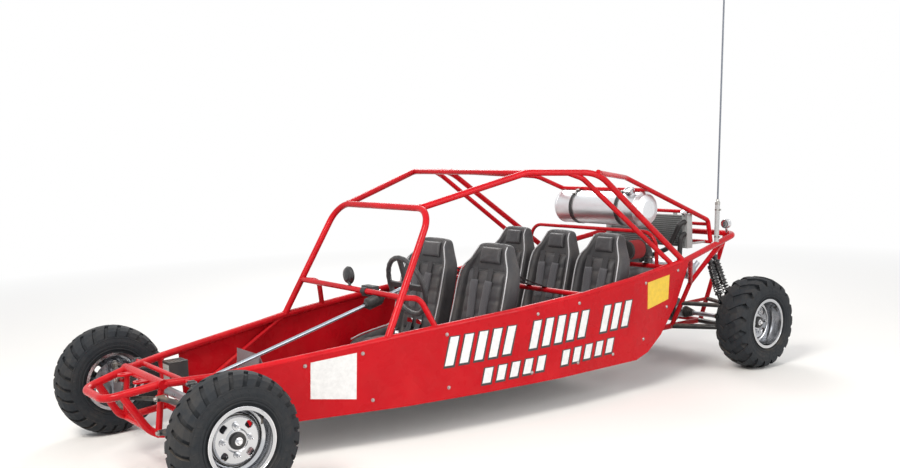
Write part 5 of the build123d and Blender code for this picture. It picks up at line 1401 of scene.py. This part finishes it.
def exhaust_details():
    """Seams of the silencer, flanges of the exhaust and bolts of the final drive."""
    seams, studs = Shape(), Shape()
    for side, _ in SIDES:
        out = ACROSS * side
        seams.lathe(SILENCER, out, 48, 186, 63.8, 187.5, 66.2, 192.5, 66.2, 195, 64, 206, 51.2,
                    206.5, 30, 206.5, 0)
        for along in (0.085, 0.140):
            seams.lathe(SILENCER, out, 48, -8, 63.8, -7, 65.8, 7, 65.8, 8, 63.8, start=along)
    seams.piece("silencer_seams", "bare_steel")
    flanges(studs, -ACROSS, 0.630, 24, 27, 16.5, 0.0215)
    for side, _ in SIDES:
        for behind, heights in ((0.070, (0.290, 0.340, 0.390, 0.430)), (0.385, (0.290, 0.340))):
            for height in heights:
                studs.bolt(spot(ENGINE_BACK + behind, DRIVE_WIDTH, height, side), ACROSS * side, 0.013)
    for step in range(5):
        studs.bolt(spot(ENGINE_BACK + 0.4205, -0.070 + 0.035 * step, 0.275), BACK, 0.012)
    studs.piece("drive_studs", "bare_steel", "zinc")


def box_details():
    """Lid and front of the battery box, and screws of the floor."""
    lid, case, screws = Shape(), Shape(), Shape()
    lid.block(spot(0.178, BOX_X, 0.4700), (0.098, 0.110, 0.006), edge=0.002)
    for step in range(5):
        lid.block(spot(0.144 + 0.017 * step, BOX_X, 0.4735), (0.070, 0.006, 0.003), edge=0.001)
    lid.piece("box_lid", "box_black")
    case.block(spot(0.1245, BOX_X, 0.4080), (0.082, 0.003, 0.100), edge=0.001)
    for step in range(4):
        case.block(spot(0.1225, BOX_X, 0.3750 + 0.022 * step), (0.074, 0.003, 0.004), edge=0.001)
    case.piece("box_front", "box_black", "case_grey")
    for side, _ in SIDES:
        for step in range(9):
            rail, _ = rail_at(BOTTOM_RAIL, 0.52 + 0.27 * step, side)
            screws.lathe(Vector((rail.x - side * 0.032, rail.y, 0.2100)), UP, 12, 0, 7, 1.8, 6, 2.6, 0)
    screws.piece("floor_screws", "bare_steel", "zinc")


# Everything is made

for make in (seats, wheels, panels, frame_details, shocks, suspension_details, steering_wheel, controls,
             mirror_and_lamp, engine_details, intake_details, radiator_details, tank_details,
             exhaust_details, box_details):
    make()


# Stage, light and camera

# Distances at which the floor starts to fade and at which it is white
FLOOR_CLEAR = 3.4
FLOOR_WHITE = 9.0

# Camera solved from the photograph: angles in degrees, focal length and width in the photo's pixels
YAW, PITCH, ROLL = 52.506, -5.452, -1.920
FOCAL_PIXELS = 1005.2
PHOTO_WIDTH = 900.0
SENSOR = 36.0
CAMERA_AT = (4.918, -3.7845, 1.624)

# Lights: place, point looked at, size, power, colour
LAMPS = {
    "key": ((2.5, -6.0, 6.5), (0, 0, 0.4), 3.0, 620.0, (1.0, 0.97, 0.92)),
    "fill": ((7.0, 1.5, 3.5), (0, 0, 0.5), 5.0, 260.0, (1.0, 1.0, 1.0)),
    "back": ((-5.0, 4.0, 5.0), (0, 0, 0.5), 4.0, 260.0, (1.0, 1.0, 1.0)),
}


def seen_directly(tree):
    """1 for rays of the camera, mirrors and glass."""
    ray = node(tree, "ShaderNodeLightPath")
    first = maths(tree, "MAXIMUM", ray.outputs["Is Camera Ray"], ray.outputs["Is Glossy Ray"])
    return maths(tree, "MAXIMUM", first, ray.outputs["Is Transmission Ray"])


def choice(tree, share, shaders, output):
    """Mix of two shaders by a share, as the output of a tree."""
    made = node(tree, "ShaderNodeMixShader")
    for socket, source in zip(made.inputs, (share, *[shader.outputs[0] for shader in shaders])):
        link(tree, source, socket)
    link(tree, made.outputs[0], tree.nodes[output].inputs["Surface"])


def stage():
    """Pale floor that fades to white away from the car, and a white background."""
    bpy.ops.mesh.primitive_plane_add(size=120.0, location=(0, 0, 0))
    floor = bpy.context.object
    floor.name = "stage_floor"
    made, tree, shader = base_material("floor", (0.86, 0.84, 0.81), 0.9)
    shader.inputs["Specular IOR Level"].default_value = 0.1
    far = node(tree, "ShaderNodeVectorMath", operation="LENGTH")
    link(tree, place(tree), far.inputs[0])
    share = ramp(tree, far.outputs["Value"], FLOOR_CLEAR, FLOOR_WHITE)
    white = node(tree, "ShaderNodeEmission", Strength=1.0)
    share = maths(tree, "MULTIPLY", share, seen_directly(tree))
    choice(tree, share, (shader, white), "Material Output")
    floor.data.materials.append(made)
    world = bpy.data.worlds.new("studio")
    world.use_nodes = True
    tree = world.node_tree
    soft = tree.nodes["Background"]
    soft.inputs["Color"].default_value = (0.93, 0.96, 1.0, 1.0)
    soft.inputs["Strength"].default_value = 0.55
    white = node(tree, "ShaderNodeBackground", Color=(1.0, 1.0, 1.0, 1.0), Strength=1.0)
    choice(tree, seen_directly(tree), (soft, white), "World Output")
    bpy.context.scene.world = world


def lamp(name, where, target, size, power, colour):
    """Soft area light that looks at a point."""
    data = bpy.data.lights.new(name, "AREA")
    data.energy = power
    data.size = size
    data.color = colour
    made = bpy.data.objects.new(name, data)
    bpy.context.scene.collection.objects.link(made)
    made.location = where
    made.rotation_euler = (Vector(target) - Vector(where)).to_track_quat("-Z", "Y").to_euler()


def camera():
    """Camera at its solved place."""
    yaw, pitch, roll = radians(YAW), radians(PITCH), radians(ROLL)
    ahead = Vector((-sin(yaw) * cos(pitch), cos(yaw) * cos(pitch), sin(pitch)))
    level = Vector((cos(yaw), sin(yaw), 0.0))
    above = level.cross(ahead)
    right = cos(roll) * level + sin(roll) * above
    up = cos(roll) * above - sin(roll) * level
    data = bpy.data.cameras.new("camera")
    data.sensor_width = SENSOR
    data.lens = SENSOR * FOCAL_PIXELS / PHOTO_WIDTH
    made = bpy.data.objects.new("camera", data)
    bpy.context.scene.collection.objects.link(made)
    turned = Matrix((right, up, -ahead)).transposed().to_4x4()
    made.matrix_world = Matrix.Translation(CAMERA_AT) @ turned
    bpy.context.scene.camera = made


stage()
for name, values in LAMPS.items():
    lamp(name, *values)
camera()
bpy.context.scene.view_settings.view_transform = "Standard"
